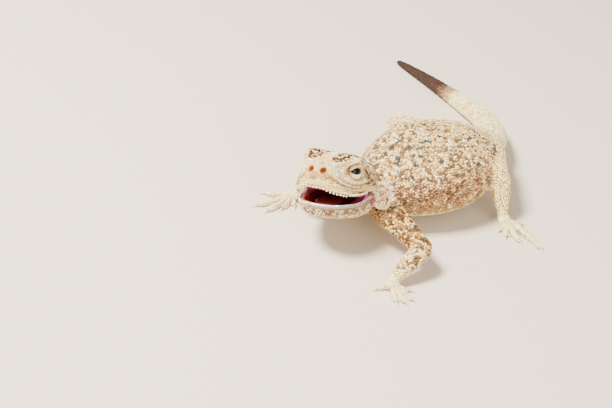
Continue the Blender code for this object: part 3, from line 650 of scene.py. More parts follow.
def head_markings(h):
    """Warm cream, a patch of dark specks on each side of the crown, pale lids, and painted shade in the
    creases round the eyes.
    """
    x, y, z = h.T
    side = np.abs(x)
    number = nearest_spot(h, 0.85, 23)[1]
    low = between(z, 8.5, 5.5)
    lores = between(y, -27.0, -25.0) * between(y, -20.5, -22.0) * between(z, 5.0, 6.0)
    brim = 10.4 + 0.17 * (y + 23.0) + 0.9 * (cloudy(h, 1.6, 29) - 0.5)
    inner = 1.5 + 0.8 * cloudy(h, 1.5, 30)
    crown = between(z, brim - 0.1, brim + 0.1) * between(np.abs(x - 0.5), inner, inner + 0.2)
    crown = crown * between(y, -23.3, -22.8) * between(y, -7.5, -10.0)
    crown = crown * between(side, 8.5 + 0.58 * (y + 20.0), 7.6 + 0.58 * (y + 20.0))
    rear = between(y, -13.8, -11.5) * between(z, 2.5, 4.5) * between(z, 13.0, 11.5)
    layers = [
        ("F8D884", between(cloudy(h, 2.6, 22), 0.4, 0.75) * 0.8),
        ("E0B468", (number < 0.14) * 0.6),
        ("F4C866", within(number, 0.3, 0.42) * 0.6),
        (WHITE, within(number, 0.5, 0.62) * 0.9),
        ("B8B2CC", within(number, 0.64, 0.69) * 0.5),
        ("C08A48", within(number, 0.72, 0.79) * 0.55),
        ("CC9C58", low * between(cloudy(h, 1.7, 25), 0.5, 0.68) * 0.75),
        ("FFF4DC", low * between(cloudy(h, 1.9, 24), 0.6, 0.75) * 0.8),
        (BROWN, (number > 0.9) * between(z, 7.0, 5.0) * 0.5),
        ("E6DAE6", lores * between(cloudy(h, 1.8, 26), 0.55, 0.7) * 0.6),
        ("8E7440", lores * (number > 0.9) * 0.5),
        ("CC9A4C", crown * (number < 0.6) * 0.75),
        ("96520C", crown * (number < 0.17) * 0.95),
        ("4A2410", crown * within(number, 0.17, 0.4) * 0.97),
        ("150B08", crown * within(number, 0.62, 0.86) * 0.98),
        ("2A3350", crown * within(number, 0.81, 0.86) * 0.8),
        (UMBER, rear * (number > 0.74) * 0.85),
        ("1E120C", rear * (number > 0.88) * 0.9),
        (TAN, rear * (number < 0.35) * 0.8),
    ]
    for sign, _ in SIDES:
        eye = seen_by_eye(h, sign)
        ahead, rise, outward = eye.T
        near_eye = within(outward, -1.5, 7.0)
        over, under, bag = lid_gaps(eye)
        gap = np.where(rise > 0.0, over + 0.5, under)
        rear_fade = between(ahead, -3.6, -1.6)
        rear_line = between(ahead, -2.4, -2.9) * between(ahead, -5.6, -4.4)
        behind = np.abs(rise - 0.5 + 0.55 * (ahead + 2.9))
        crease = between(rise, 0.0, 1.0) * ridge(over - 2.75, 0.26) * rear_fade
        below = near_eye * between(rise, -2.0, -3.0)
        front = np.hypot(ahead - 3.7, rise + 0.4)
        nostril = nostril_gap(h, sign)
        layers += [
            ("FBEFD2", near_eye * between(gap, 3.3, 2.9) * 0.8),
            ("E0B27C", near_eye * between(gap, 3.2, 2.9) * (number < 0.25) * 0.6),
            ("FFF3D8", near_eye * ridge(over - 3.5, 0.4) * (rise > 0.8) * 0.9),
            ("6E3C20", near_eye * rear_line * ridge(behind, 0.32) * 0.8),
            # The brown in the fold over the eye, the fold under it and the two grooves of the bags below is
            # painted shade in these creases; the white on the bags' first fold is its own colour.
            ("B06A2C", near_eye * crease * 0.95),
            ("8A3C28", near_eye * between(rise, -0.8, -1.8) * ridge(under - 3.2, 0.26) * rear_fade),
            (WHITE, below * ridge(bag - 4.1, 0.4) * 0.9),
            ("B98A5C", below * ridge(bag - 4.8, 0.22) * 0.8),
            ("9A5428", below * ridge(bag - 5.9, 0.2) * 0.95),
            ("8E6A34", near_eye * between(front, 2.2, 1.0) * 0.75),
            (UMBER, near_eye * between(front, 0.7, 0.35) * 0.9),
            ("F2CE80", between(nostril, 2.6, 1.5) * 0.7),
            ("B8680A", between(nostril, 1.65, 1.3)),
            # The middle of each nostril is painted dark: painted shade in its pit.
            ("7A3A04", between(nostril, 0.9, 0.5) * 0.8),
        ]
    brow = between(z, 10.6, 11.4) * between(y, -19.5, -18.0) * between(side, 7.5, 8.5)
    brow = brow * between(y, -8.0, -10.0)
    return layered(
        h, "FFF0CC", *layers,
        ("7A4418", brow * (number < 0.12) * 0.85),
        ("2A1A12", brow * (number > 0.8) * 0.9),
        ("FFF2CE", between(z, 0.6, -1.5) * 0.6),
    )


def jaw_markings(j):
    """Brown freckled with white on the chin's sides, and white under the throat."""
    number = nearest_spot(j, 0.85, 27)[1]
    return layered(
        j, "D8AE74",
        ("77522C", (number > 0.55) * 0.75),
        ("9A4A2A", between(cloudy(j, 2.4, 28), 0.7, 0.8) * between(j[:, 1], -14.0, -18.0) * 0.7),
        ("FFF8E8", (number < 0.32) * 0.95),
        ("F4E2BE", between(j[:, 2], -5.6, -7.4) * 0.7),
    )


def limb_markings(p, up, name, share):
    """Golden brown upper arms, pale forearms and shins with rosy blotches, cream thighs."""
    away, number = nearest_spot(p, 1.9, 33)
    fleck, patch = cloudy(p, 1.0, 34), cloudy(p, 2.6, 35)
    fine = nearest_spot(p, 1.0, 37)[1]
    if name.startswith("upper_arm"):
        base, *layers = (
            "AC7C3A",
            ("7A5220", between(patch, 0.3, 0.7) * 0.8),
            ("3E2814", (fine > 0.62) * between(fleck, 0.3, 0.45) * 0.9),
            ("EACB84", (fine < 0.3) * 0.8),
            ("243246", between(share, 0.4, 0.7) * (number > 0.75) * between(away, 0.9, 0.6) * 0.95),
        )
    elif name.startswith("forearm"):
        base, *layers = (
            "E8C48E",
            ("A26A58", between(patch, 0.5, 0.7) * 0.6),
            ("FAE8C0", (fine < 0.36) * 0.9),
            ("50381F", (fine > 0.74) * between(share, 1.0, 0.7) * 0.88),
            (CREAM, between(share, 0.7, 1.0) * 0.6),
        )
    elif name.startswith("thigh"):
        base, *layers = (
            "FCE6B4",
            (SAND, between(patch, 0.35, 0.7) * 0.6),
            (TAN, between(away, 0.8, 1.1) * between(fleck, 0.5, 0.7) * 0.4),
            ("C8985A", (fine > 0.85) * 0.5),
            # The pale pink towards the knee is partly the knee's own colour and partly a painted highlight.
            ("FAD8B0", between(share, 0.55, 0.9) * 0.6),
        )
    else:
        base, *layers = (
            "F6DCAA",
            (TAN, between(patch, 0.45, 0.7) * 0.5),
            (BROWN, between(away, 0.8, 1.1) * between(fleck, 0.5, 0.7) * 0.4),
            # Pale pink near the knee: partly its own colour, partly a painted highlight.
            ("FAD8B0", between(share, 0.35, 0.0) * 0.7),
            (CREAM, between(share, 0.7, 1.0) * 0.7),
        )
    return layered(p, base, *layers, ("F7E4C0", between(up, -0.3, -0.65) * 0.8))


def tail_markings(p, up, share):
    """Pale straw with faint tan bars, then brown-black all round the last third."""
    bars = between(np.sin(share * 44.0) + 0.7 * (cloudy(p, 2.0, 41) - 0.5), 0.35, 0.75)
    ragged = share + 0.03 * (cloudy(p, 1.5, 43) - 0.5)
    return layered(
        p, "FAE9BC",
        (TAN, bars * between(up, -0.1, 0.4) * 0.3),
        (SAND, between(cloudy(p, 1.3, 42), 0.5, 0.75) * 0.5),
        (WHITE, between(up, -0.1, -0.5) * 0.7),
        ("7A5230", between(ragged, 0.56, 0.62) * 0.8),
        ("301A10", between(ragged, 0.6, 0.68)),
    )


def foot_markings(p):
    """Pale cream, sandier in patches and palest near the ground."""
    return layered(
        p, "FFEDC8",
        (SAND, between(cloudy(p, 1.4, 51), 0.5, 0.8) * 0.5),
        ("FFF3DC", between(p[:, 2], 2.2, 0.6) * 0.6),
    )


def flap_markings(h):
    """Creamy white with rosy brown between, deeper pink towards the corner of the mouth."""
    side = np.abs(h[:, 0])
    number = nearest_spot(h, 0.8, 55)[1]
    front = between(h[:, 1] + 0.2 * (side - 12.0), -5.6, -6.2)
    return layered(
        h, "F8E6C8",
        ("95603F", (number > 0.66) * 0.8),
        (WHITE, within(number, 0.3, 0.5) * 0.8),
        ("DDA868", (number < 0.2) * 0.8),
        ("CC8C7C", front * between(side, 15.6, 13.8) * (number < 0.8) * 0.3),
    )


def corner_blush(colours, h):
    """Bare rosy skin shows round each corner of the mouth, with a tawny streak over it."""
    side, y, z = np.abs(h[:, 0]), h[:, 1], h[:, 2]
    away = np.linalg.norm(np.column_stack([side, y, z]) - [12.9, -7.7, -0.7], axis=1)
    colours = tinted(colours, "C4587E", between(away, 2.0, 1.1) * 0.85)
    streak = np.hypot(side - 13.0, y + 8.4 - 0.3 * z)
    return tinted(colours, "A4641C", between(streak, 0.8, 0.35) * between(np.abs(z - 0.9), 1.3, 0.8) * 0.75)


def lining_markings(h, j):
    """The mouth's inside: wet dark red, painted blackish deep at the back as painted shade, with a painted
    orange highlight at the front of its floor, and magenta corners.
    """
    side, y = np.abs(h[:, 0]), h[:, 1]
    front = between(j[:, 1], -22.0, -24.0) * between(j[:, 2], 0.5, -0.8)
    return layered(
        h, "AC3A2C",
        ("741F18", between(cloudy(h, 1.6, 61), 0.3, 0.7) * 0.8),
        # Deep in the mouth the lining is painted blackish: painted shade.
        ("4E0C0C", between(y, -18.0, -10.0) * between(side, 11.0, 8.0) * 0.9),
        # Orange at the front of the floor: a painted highlight where light reaches into the mouth.
        ("E0864A", front * between(cloudy(h, 1.4, 62), 0.35, 0.6) * 0.8),
        ("B2406E", between(y, -13.0, -8.0) * between(side, 7.5, 10.5) * 0.9),
    )


# The whole hide is this much redder, as green and less blue than its single tints.
WARMTH = (1.08, 1.0, 0.74)


def markings(points, normals, owner):
    """The colour of the animal at each point."""
    colours = np.zeros((len(points), 3))
    animal, head, jaw = in_animal(points), in_head(points), in_jaw(points)
    for index, name in enumerate(NODES):
        here = owner == index
        if not here.any():
            continue
        p, h, up = animal[here], head[here], normals[here, 2]
        trunk = trunk_markings(p, up)
        ragged = 2.5 * (nearest_spot(p, 1.3, 63)[1] - 0.5)
        tail_share = along_line(p, TAIL_LINE)[0]
        tail = tail_markings(p, up, tail_share)
        rump = between(p[:, 1] + 1.6 * ragged, 33.0, 52.0)
        if name in ("torso", "neck"):
            found = mixed(trunk, tail, rump)
        elif name == "head":
            found = mixed(head_markings(h), trunk, between(h[:, 1] + ragged, -7.0, -1.0))
        elif name == "lower_jaw":
            found = jaw_markings(jaw[here])
        elif name.startswith("tail"):
            found = mixed(tail, trunk, (1 - rump) * between(tail_share, 0.2, 0.1))
        elif name.startswith("mouth_flap"):
            found = flap_markings(h)
        elif name.startswith(("hand", "foot")):
            found = foot_markings(p)
        else:
            share = along_line(p, np.array(lines[name][0], float))[0]
            most = 0.8 if name.startswith("thigh") else 0.0
            root_share = between(share + 0.05 * ragged, 0.5, 0.15) * most
            found = mixed(limb_markings(p, up, name, share), trunk, root_share)
        colours[here] = found
    colours = corner_blush(colours, head) * WARMTH
    wet = is_in_mouth(points, normals)
    colours[wet] = lining_markings(head[wet], jaw[wet])
    return colours


lines["torso"] = [TRUNK_LINE]
lines["neck"] = [((-1.0, -29.0, 15.5), (0.5, -22.0, 14.5))]
for node in ("tail_base", "tail_middle", "tail_tip"):
    lines[node] = [TAIL_LINE]
for node in ("head", "lower_jaw"):
    lines[node] = [[in_animal(np.array([HEAD @ Vector((0.0, y, 4.0))]))[0] for y in (-30.0, 4.0)]]
for limb, (root, bend, end) in LIMBS.items():
    part, side = limb.split("_")
    upper, lower = {"arm": ("upper_arm", "forearm"), "leg": ("thigh", "shin")}[part]
    lines[f"{upper}_{side}"] = [(root, bend)]
    lines[f"{lower}_{side}"] = [(bend, end)]


def add_node(tree, kind, settings=(), **inputs):
    """Adds a shader node. A setting is one of its options, an input is a value or another output."""
    made = tree.nodes.new(kind)
    for key, value in dict(settings).items():
        setattr(made, key, value)
    for key, value in inputs.items():
        socket = made.inputs[int(key[1:])] if key[0] == "_" else made.inputs[key.replace("_", " ")]
        if isinstance(value, bpy.types.NodeSocket):
            tree.links.new(value, socket)
        else:
            socket.default_value = value
    return made


def new_material(name):
    """A material and its node tree, shader and object coordinates."""
    material = bpy.data.materials.new(name)
    material.use_nodes = True
    tree = material.node_tree
    coordinates = tree.nodes.new("ShaderNodeTexCoord")
    return material, tree, tree.nodes["Principled BSDF"], coordinates.outputs["Object"]


def per_metre(millimetres):
    """The scale of a texture whose cells are this wide."""
    return 1000.0 / millimetres


def painted_through(tree, shader, noise, low, high):
    """The markings attribute as base colour, made darker or lighter by a noise, from low to high."""
    painted = add_node(tree, "ShaderNodeAttribute", {"attribute_name": "markings"})
    shade = add_node(
        tree, "ShaderNodeMapRange", _0=noise.outputs["Fac"], _1=0.3, _2=0.7, _3=low, _4=high
    )
    shaded = add_node(
        tree, "ShaderNodeVectorMath", {"operation": "SCALE"},
        _0=painted.outputs["Color"], _3=shade.outputs["Result"],
    )
    tree.links.new(shaded.outputs["Vector"], shader.inputs["Base Color"])


def hide_like(name, roughness, grain, grain_height, tone=0.18, coat=0.0):
    """A skin finish: the markings, freckled by a fine noise, over a grain of the given width."""
    material, tree, shader, where = new_material(name)
    freckle = add_node(tree, "ShaderNodeTexNoise", Vector=where, Scale=per_metre(0.5), Detail=3.0)
    painted_through(tree, shader, freckle, 1.0 - tone, 1.0 + tone)
    grains = add_node(
        tree, "ShaderNodeTexVoronoi", {"feature": "F1"}, Vector=where, Scale=per_metre(grain)
    )
    bump = add_node(
        tree, "ShaderNodeBump", {"invert": True},
        Height=grains.outputs["Distance"], Strength=0.35, Distance=grain_height * MM,
    )
    tree.links.new(bump.outputs["Normal"], shader.inputs["Normal"])
    for socket, value in (
        ("Roughness", roughness), ("Specular IOR Level", 0.3), ("Coat Weight", coat),
        ("Coat Roughness", 0.15), ("Subsurface Weight", 0.12),
        ("Subsurface Radius", (0.0012, 0.0006, 0.0003)),
    ):
        shader.inputs[socket].default_value = value
    return material


def paint(obj, colours):
    """Keeps a colour for each point of the mesh, as the markings attribute."""
    mesh = obj.data
    layer = mesh.color_attributes.new("markings", "FLOAT_COLOR", "POINT")
    rgba = np.ones((len(mesh.vertices), 4), np.float32)
    rgba[:, :3] = colours
    layer.data.foreach_set("color", rgba.ravel())
    mesh.color_attributes.active_color = layer


# Dry reptile skin, matt, with grains between the scales. Inside the mouth it is a wet mucous
# membrane, so there the same markings lie under a clear film.
dry_skin = hide_like("dry reptile skin", 0.62, 0.5, 0.12)
wet_membrane = hide_like("wet mouth membrane", 0.42, 0.9, 0.1, coat=0.15)
skin.data.materials.append(dry_skin)
skin.data.materials.append(wet_membrane)
place = read(skin.data.vertices)
out = read(skin.data.vertex_normals, "vector")
owner = owners_of(place)
hide_colours = markings(place, out, owner)
# Between the scales the hide is tinted browner, its own tone, by a share for each kind of node, and then
# darkened by a flat share, a painted shade under the overhanging scales.
HIDE_TONES = {"head": 0.45, "lower_jaw": 0.75, "mouth": 0.6, "tail": 0.3, "hand": 0.15, "foot": 0.15}
BODY_HIDE_TONE, HIDE_PAINTED_SHADE = 0.6, 0.6
browned_and_shaded = tinted(hide_colours, "6A3C1E", np.array(by_node(HIDE_TONES, BODY_HIDE_TONE))[owner]) * HIDE_PAINTED_SHADE
head = in_head(place)
# Along the upper lip's edge the hide between the tooth-like scales is painted dark red-brown, a painted shade
# under those scales.
rim = on_node(owner, "head") * between(head[:, 2] - on_lip(UPPER_LIP, head[:, 1])[1], 0.5, 0.2)
browned_and_shaded = tinted(browned_and_shaded, "3E1810", rim * between(head[:, 1], -5.0, -6.5) * 0.85)
paint(skin, np.where(is_in_mouth(place, out)[:, None], hide_colours, browned_and_shaded))
wet = is_in_mouth(read(skin.data.polygons, "center"), read(skin.data.polygons, "normal"))
skin.data.polygons.foreach_set("material_index", wet.astype(np.int32))

# The scales
# Small horny plates over the whole hide, each rooted in the skin and lying back over the next: pointed
# and keeled above, flat below, beads on the face, spikes at the jaw, and turned to follow the body.
# Each region: spacing, length, width and height in millimetres, and the form.
SCALE_FORMS = {
    "head": (0.74, 0.88, 0.8, 0.26, "bead"),
    "lower_jaw": (0.6, 0.76, 0.66, 0.32, "spike"),
    "neck": (0.85, 1.1, 0.86, 0.4, "keeled"),
    "torso": (0.9, 1.2, 0.96, 0.34, "keeled"),
    "tail": (0.86, 1.3, 0.84, 0.3, "keeled"),
    "upper": (0.95, 1.4, 1.0, 0.38, "keeled"),
    "forearm": (0.84, 1.2, 0.86, 0.32, "keeled"),
    "thigh": (0.92, 1.25, 0.94, 0.32, "keeled"),
    "shin": (0.85, 1.2, 0.88, 0.32, "keeled"),
    "hand": (0.56, 0.74, 0.6, 0.13, "flat"),
    "foot": (0.56, 0.74, 0.6, 0.13, "flat"),
    "mouth_flap": (0.56, 0.72, 0.56, 0.34, "spike"),
}
# The forms have six corners, the first one behind: a root ring, a shoulder ring and a ridge of two
# points. Along, across and height are shares of the scale's half length, half width and height.
CORNERS = np.radians([0, 60, 120, 180, 240, 300])
HEXAGON = np.stack([np.cos(CORNERS), np.sin(CORNERS) / np.sin(np.radians(60))], axis=1)


def scale_form(root, shoulder, shoulder_heights, crest):
    """The 14 points of a form, from its ring widths, the shoulder's heights and the ridge's two points."""
    points = np.zeros((14, 3))
    points[:6, :2] = HEXAGON * root
    points[6:12, :2] = HEXAGON * shoulder
    points[6:12, 2] = shoulder_heights
    points[12], points[13] = crest
    return points


FORMS = {
    "bead": scale_form(0.98, 0.78, 0.55, ((-0.25, 0, 1.0), (0.25, 0, 1.0))),
    "keeled": scale_form(0.95, 0.9, (0.85, 0.42, 0.16, 0.1, 0.16, 0.42), ((-0.35, 0, 0.55), (0.7, 0, 1.05))),
    "flat": scale_form(0.97, 0.9, (0.8, 0.5, 0.25, 0.15, 0.25, 0.5), ((-0.3, 0, 0.5), (0.5, 0, 0.95))),
    "spike": scale_form(0.95, 0.62, 0.4, ((0.1, 0, 0.9), (0.45, 0, 1.25))),
}
FORM_FACES = [(5, 4, 3, 2, 1, 0)]
FORM_FACES += [(k, (k + 1) % 6, 6 + (k + 1) % 6, 6 + k) for k in range(6)]
FORM_FACES += [(6, 7, 13), (11, 6, 13), (7, 8, 12, 13), (10, 11, 13, 12), (8, 9, 12), (9, 10, 12)]
ROOT_DEPTH = 0.2
# How wide one scale's patch of the unwrap is, as a share of the whole.
CHART_SIZE = 0.0015
# How light a scale is at its root ring, its shoulder ring and its ridge, as a share of its colour: painted
# shade at the root, in the gaps between the scales, and a painted highlight on the ridge.
SCALE_PAINTED_SHADE_AND_HIGHLIGHT = np.array([0.25] * 6 + [0.8] * 6 + [1.16] * 2)
# Keratin, the horn of a reptile's scales: thin and dry, a little glossy.
horny_scale = hide_like("keratin scale", 0.5, 0.22, 0.03, tone=0.12)


def piece_of_copies(name, points, colours, charts, faces, count, material):
    """Makes a piece of many copies of a form, none of it under the floor.

    points, colours and charts, which unwrap the points, run through each copy, faces is one copy's.
    """
    points[:, 2] = np.maximum(points[:, 2], 0.0)
    per_copy = len(points) // count
    loops = np.concatenate([np.array(face) for face in faces])
    all_loops = (loops[None] + np.arange(count)[:, None] * per_copy).ravel()
    all_sizes = np.tile([len(face) for face in faces], count)
    mesh = bpy.data.meshes.new(name)
    mesh.vertices.add(len(points))
    mesh.vertices.foreach_set("co", points.astype(np.float32).ravel())
    mesh.loops.add(len(all_loops))
    mesh.loops.foreach_set("vertex_index", all_loops.astype(np.int32))
    mesh.polygons.add(len(all_sizes))
    starts = np.concatenate([[0], np.cumsum(all_sizes)[:-1]])
    mesh.polygons.foreach_set("loop_start", starts.astype(np.int32))
    mesh.update(calc_edges=True)
    mesh.shade_smooth()
    piece = new_piece(name, mesh)
    paint(piece, colours)
    layer = mesh.uv_layers.new(name="OFBake")
    layer.data.foreach_set("uv", charts[all_loops].astype(np.float32).ravel())
    mesh.materials.append(material)
    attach(piece, "root")


def plant(name, roots, outs, ways, sizes, forms, colours, tips, charts):
    """Sets one scale at each root, as one piece: sizes are length, width and height in millimetres.

    tips lightens the ridge, and charts is each root's place on an unwrap of the skin.
    """
    along = forms[:, :, 0] * sizes[:, None, 0] / 2
    across = forms[:, :, 1] * sizes[:, None, 1] / 2
    high = forms[:, :, 2] * sizes[:, None, 2]
    high[:, :6] = -ROOT_DEPTH
    sides = np.cross(outs, ways)
    points = (
        roots[:, None, :]
        + (ways[:, None, :] * along[..., None] + sides[:, None, :] * across[..., None]) * MM
        + outs[:, None, :] * high[..., None] * MM
    )
    # The root ring is darkened and the ridge lightened: painted shade between the scales and a painted
    # highlight on their ridges.
    shades = colours[:, None, :] * SCALE_PAINTED_SHADE_AND_HIGHLIGHT[None, :, None]
    tips = (tips * np.clip(colours.mean(axis=1) * 2.0, 0.0, 1.0))[:, None, None]
    shades[:, 12:] = shades[:, 12:] * (1 - tips) + linear(WHITE) * tips
    patches = charts[:, None, :] + forms[:, :, :2] * CHART_SIZE
    piece_of_copies(
        name, points.reshape(-1, 3), np.clip(shades, 0.0, 1.0).reshape(-1, 3), patches.reshape(-1, 2),
        FORM_FACES, len(roots), horny_scale,
    )


def tree_of(points):
    """A tree that finds the nearest of these points."""
    tree = KDTree(len(points))
    for i, point in enumerate(points):
        tree.insert(point, i)
    tree.balance()
    return tree


def fineness(points, owner):
    """How small the scales are next to their region's own: finer on the snout, finest on the lids."""
    head = in_head(points)
    face = 1.0 - 0.25 * between(head[:, 2], 11.0, 9.0) * between(head[:, 1], -6.0, -12.0)
    for sign, _ in SIDES:
        gap = np.linalg.norm(head - np.array(eye_at(sign)), axis=1)
        face = np.minimum(face, 0.5 + 0.25 * between(gap, 3.9, 6.2))
        face = np.minimum(face, 0.6 + 0.2 * between(nostril_gap(head, sign), 1.5, 2.4))
    return np.where(on_node(owner, "head"), face, 1.0)


# Places for the scales are drawn at random, more of them where the scales are small.
rng = np.random.default_rng(5)
skin.data.calc_loop_triangles()
halves = np.zeros(len(skin.data.loop_triangles) * 3, np.int32)
skin.data.loop_triangles.foreach_get("vertices", halves)
halves = halves.reshape(-1, 3)
skin_tree = BVHTree.FromPolygons([Vector(row) for row in place], halves.tolist())
node_scales = by_node(SCALE_FORMS, None)
spacing = np.array([row[0] for row in node_scales])
area = 0.5 * np.linalg.norm(
    np.cross(place[halves[:, 1]] - place[halves[:, 0]], place[halves[:, 2]] - place[halves[:, 0]]), axis=1
) / MM**2
TRIES_PER_SCALE = 7
# How near two scales may be drawn, and how far apart they settle, as shares of their spacing.
NEAREST_DRAWN, SETTLED = 0.8, 1.02
near_scale = spacing[owner[halves[:, 0]]] * fineness(place[halves[:, 0]], owner[halves[:, 0]])
wanted = area / near_scale**2 * TRIES_PER_SCALE
picks = rng.choice(len(halves), int(wanted.sum()), p=wanted / wanted.sum())
mix = np.sqrt(rng.random(len(picks)))
other = rng.random(len(picks))
weights = np.stack([1 - mix, mix * (1 - other), mix * other], axis=1)


def on_picks(values):
    """Values of the skin's points, at the places picked within its faces."""
    return (values[halves[picks]] * weights[:, :, None]).sum(axis=1)


def is_bare(points, ways_out):
    """Where no scale grows: in the mouth, on the lips' rims, in the eye slits and the nostrils."""
    head, jaw = in_head(points), in_jaw(points)
    upper_wide, upper_edge = on_lip(UPPER_LIP, head[:, 1])
    nearest_node = owners_of(points)
    rim = (jaw[:, 2] > on_lip(LOWER_LIP, jaw[:, 1])[1] - 1.5) & (head[:, 1] < -6.6)
    band = (head[:, 2] < upper_edge + 2.75) & (head[:, 1] < -8.3) & (np.abs(head[:, 0]) > upper_wide - 3.0)
    bare = is_in_mouth(points, ways_out)
    bare |= (rim & on_node(nearest_node, "lower_jaw")) | (band & on_node(nearest_node, "head"))
    for sign, _ in SIDES:
        eye = seen_by_eye(head, sign)
        bare |= (slit_gap(eye, 0.25) < 1.0) & within(eye[:, 2], 0.0, 6.0)
        bare |= nostril_gap(head, sign) < 1.3
    return bare


def spread_out(points, reach):
    """Numbers of the points kept, in a random order, so that none lies within another's reach."""
    tree = tree_of(points)
    free = np.ones(len(points), bool)
    kept = []
    for i in rng.permutation(len(points)):
        if free[i]:
            kept.append(i)
            for _, near, _ in tree.find_range(points[i], reach[i]):
                free[near] = False
    return np.array(kept)


def settle(points, reach, rounds):
    """Moves points apart until they lie evenly, and back on the skin."""
    for _ in range(rounds):
        tree = tree_of(points)
        push = np.zeros_like(points)
        for i, point in enumerate(points):
            for spot, _, away in tree.find_n(point, 7)[1:]:
                lack = reach[i] - away
                if lack > 0.0:
                    push[i] += (point - np.array(spot)) * (0.45 * lack / max(away, 1e-6))
        points = np.array([skin_tree.find_nearest(point)[0] for point in points + push])
    return points


tries = on_picks(place)
try_owner = owner[halves[picks, np.argmax(weights, axis=1)]]
keep = ~is_bare(tries, on_picks(out))
tries, try_owner = tries[keep], try_owner[keep]
try_spacing = spacing[try_owner] * fineness(tries, try_owner)
kept = spread_out(tries, try_spacing * NEAREST_DRAWN * MM)
roots = settle(tries[kept], try_spacing[kept] * SETTLED * MM, 3)
skin_points = tree_of(place)
nearest = np.array([skin_points.find(root)[1] for root in roots])
keep = ~is_bare(roots, out[nearest])
roots, nearest = roots[keep], nearest[keep]
outs, root_owner = out[nearest], owner[nearest]


def flow(points, outs, owner):
    """The way the scales point, laid along the skin, and how far along and round the node each is."""
    ways = np.zeros_like(points)
    share, around = np.zeros(len(points)), np.zeros(len(points))
    spots = in_animal(points)
    for index, name in enumerate(NODES):
        here = np.flatnonzero(owner == index)
        if not len(here):
            continue
        best = np.full(len(here), 1e9)
        for line in lines[name]:
            at, way, near = along_line(spots[here], np.array(line, float))
            gap = spots[here] - near
            away = np.linalg.norm(gap, axis=1)
            closer = away < best
            best[closer] = away[closer]
            ways[here[closer]] = way[closer]
            share[here[closer]] = at[closer]
            level = np.cross(way, (0.0, 0.0, 1.0))
            turn = np.arctan2((gap * np.cross(level, way)).sum(axis=1), (gap * level).sum(axis=1))
            around[here[closer]] = turn[closer] / (2 * math.pi) + 0.5
    ways[on_node(owner, "lower_jaw")] += (0.0, 0.0, -0.8)
    ways -= outs * (ways * outs).sum(axis=1)[:, None]
    long = np.linalg.norm(ways, axis=1)
    ways[long < 0.1] += np.cross(outs[long < 0.1], (1.0, 0.0, 0.0))
    return unit(ways), share, around


def chance(count, low, high):
    return low + (high - low) * rng.random(count)


ways, share, around = flow(roots, outs, root_owner)
sizes = np.zeros((len(roots), 3))
forms = np.zeros((len(roots), 14, 3))
tips = np.full(len(roots), 0.12)
for index, (_, *size, form) in enumerate(node_scales):
    here = root_owner == index
    sizes[here] = size
    forms[here] = FORMS[form]
heads, up = in_head(roots), outs[:, 2]
on_head, on_jaw = on_node(root_owner, "head"), on_node(root_owner, "lower_jaw")
temple = on_head & (heads[:, 1] > -12.0) & (heads[:, 2] < 9.0)
throat = on_jaw & (in_jaw(roots)[:, 2] < -6.6)
flanks = on_node(root_owner, "torso") & within(up, -0.2, 0.6)
# Places with scales of their own: which, their form, how much larger they are, and their pale tips.
for here, form, factors, tip in (
    ((up < -0.35) & ~on_jaw, "flat", (1.0, 1.0, 0.45), 0.12),
    (temple, "spike", (0.95, 0.85, 1.5), 0.35),
    (on_head & (heads[:, 2] > 10.5), None, (1.05, 1.05, 1.3), 0.12),
    (on_jaw, None, (1.0, 1.0, 1.0), 0.45),
    (throat, "flat", (1.1, 1.0, 0.5), 0.45),
    (flanks, None, (0.95, 1.0, 1.25), 0.25),
):
    if form:
        forms[here] = FORMS[form]
    sizes[here] *= factors
    tips[here] = tip
sizes *= fineness(roots, root_owner)[:, None]
sizes *= chance(len(roots), 0.88, 1.14)[:, None]
sizes[:, 2] *= chance(len(roots), 0.8, 1.2)
scale_colours = markings(roots, outs, root_owner) * chance(len(roots), 0.62, 1.28)[:, None]
scale_colours *= 1.0 + (rng.random((len(roots), 3)) - 0.5) * 0.08

for piece_name, members in (
    ("head_scales_1", ("head",)),
    ("jaw_and_flap_scales_1", ("lower_jaw", "mouth_flap_left", "mouth_flap_right", "neck")),
    ("trunk_scales_1", ("torso",)),
    ("arm_scales_1", ("upper_arm_left", "upper_arm_right", "forearm_left", "forearm_right")),
    ("leg_scales_1", ("thigh_left", "thigh_right", "shin_left", "shin_right")),
    ("tail_scales_1", ("tail_base", "tail_middle", "tail_tip")),
    ("hand_scales_1", ("hand_left", "hand_right")),
    ("foot_scales_1", ("foot_left", "foot_right")),
):
    here = np.flatnonzero(on_node(root_owner, *members))
    numbers = [NODES.index(member) for member in members]
    column = np.array([numbers.index(o) for o in root_owner[here]])
    charts = np.column_stack(
        [(column + 0.04 + 0.92 * share[here]) / len(members), 0.02 + 0.96 * around[here]]
    )
    plant(
        piece_name, roots[here], outs[here], ways[here], sizes[here], forms[here],
        scale_colours[here], tips[here], charts,
    )

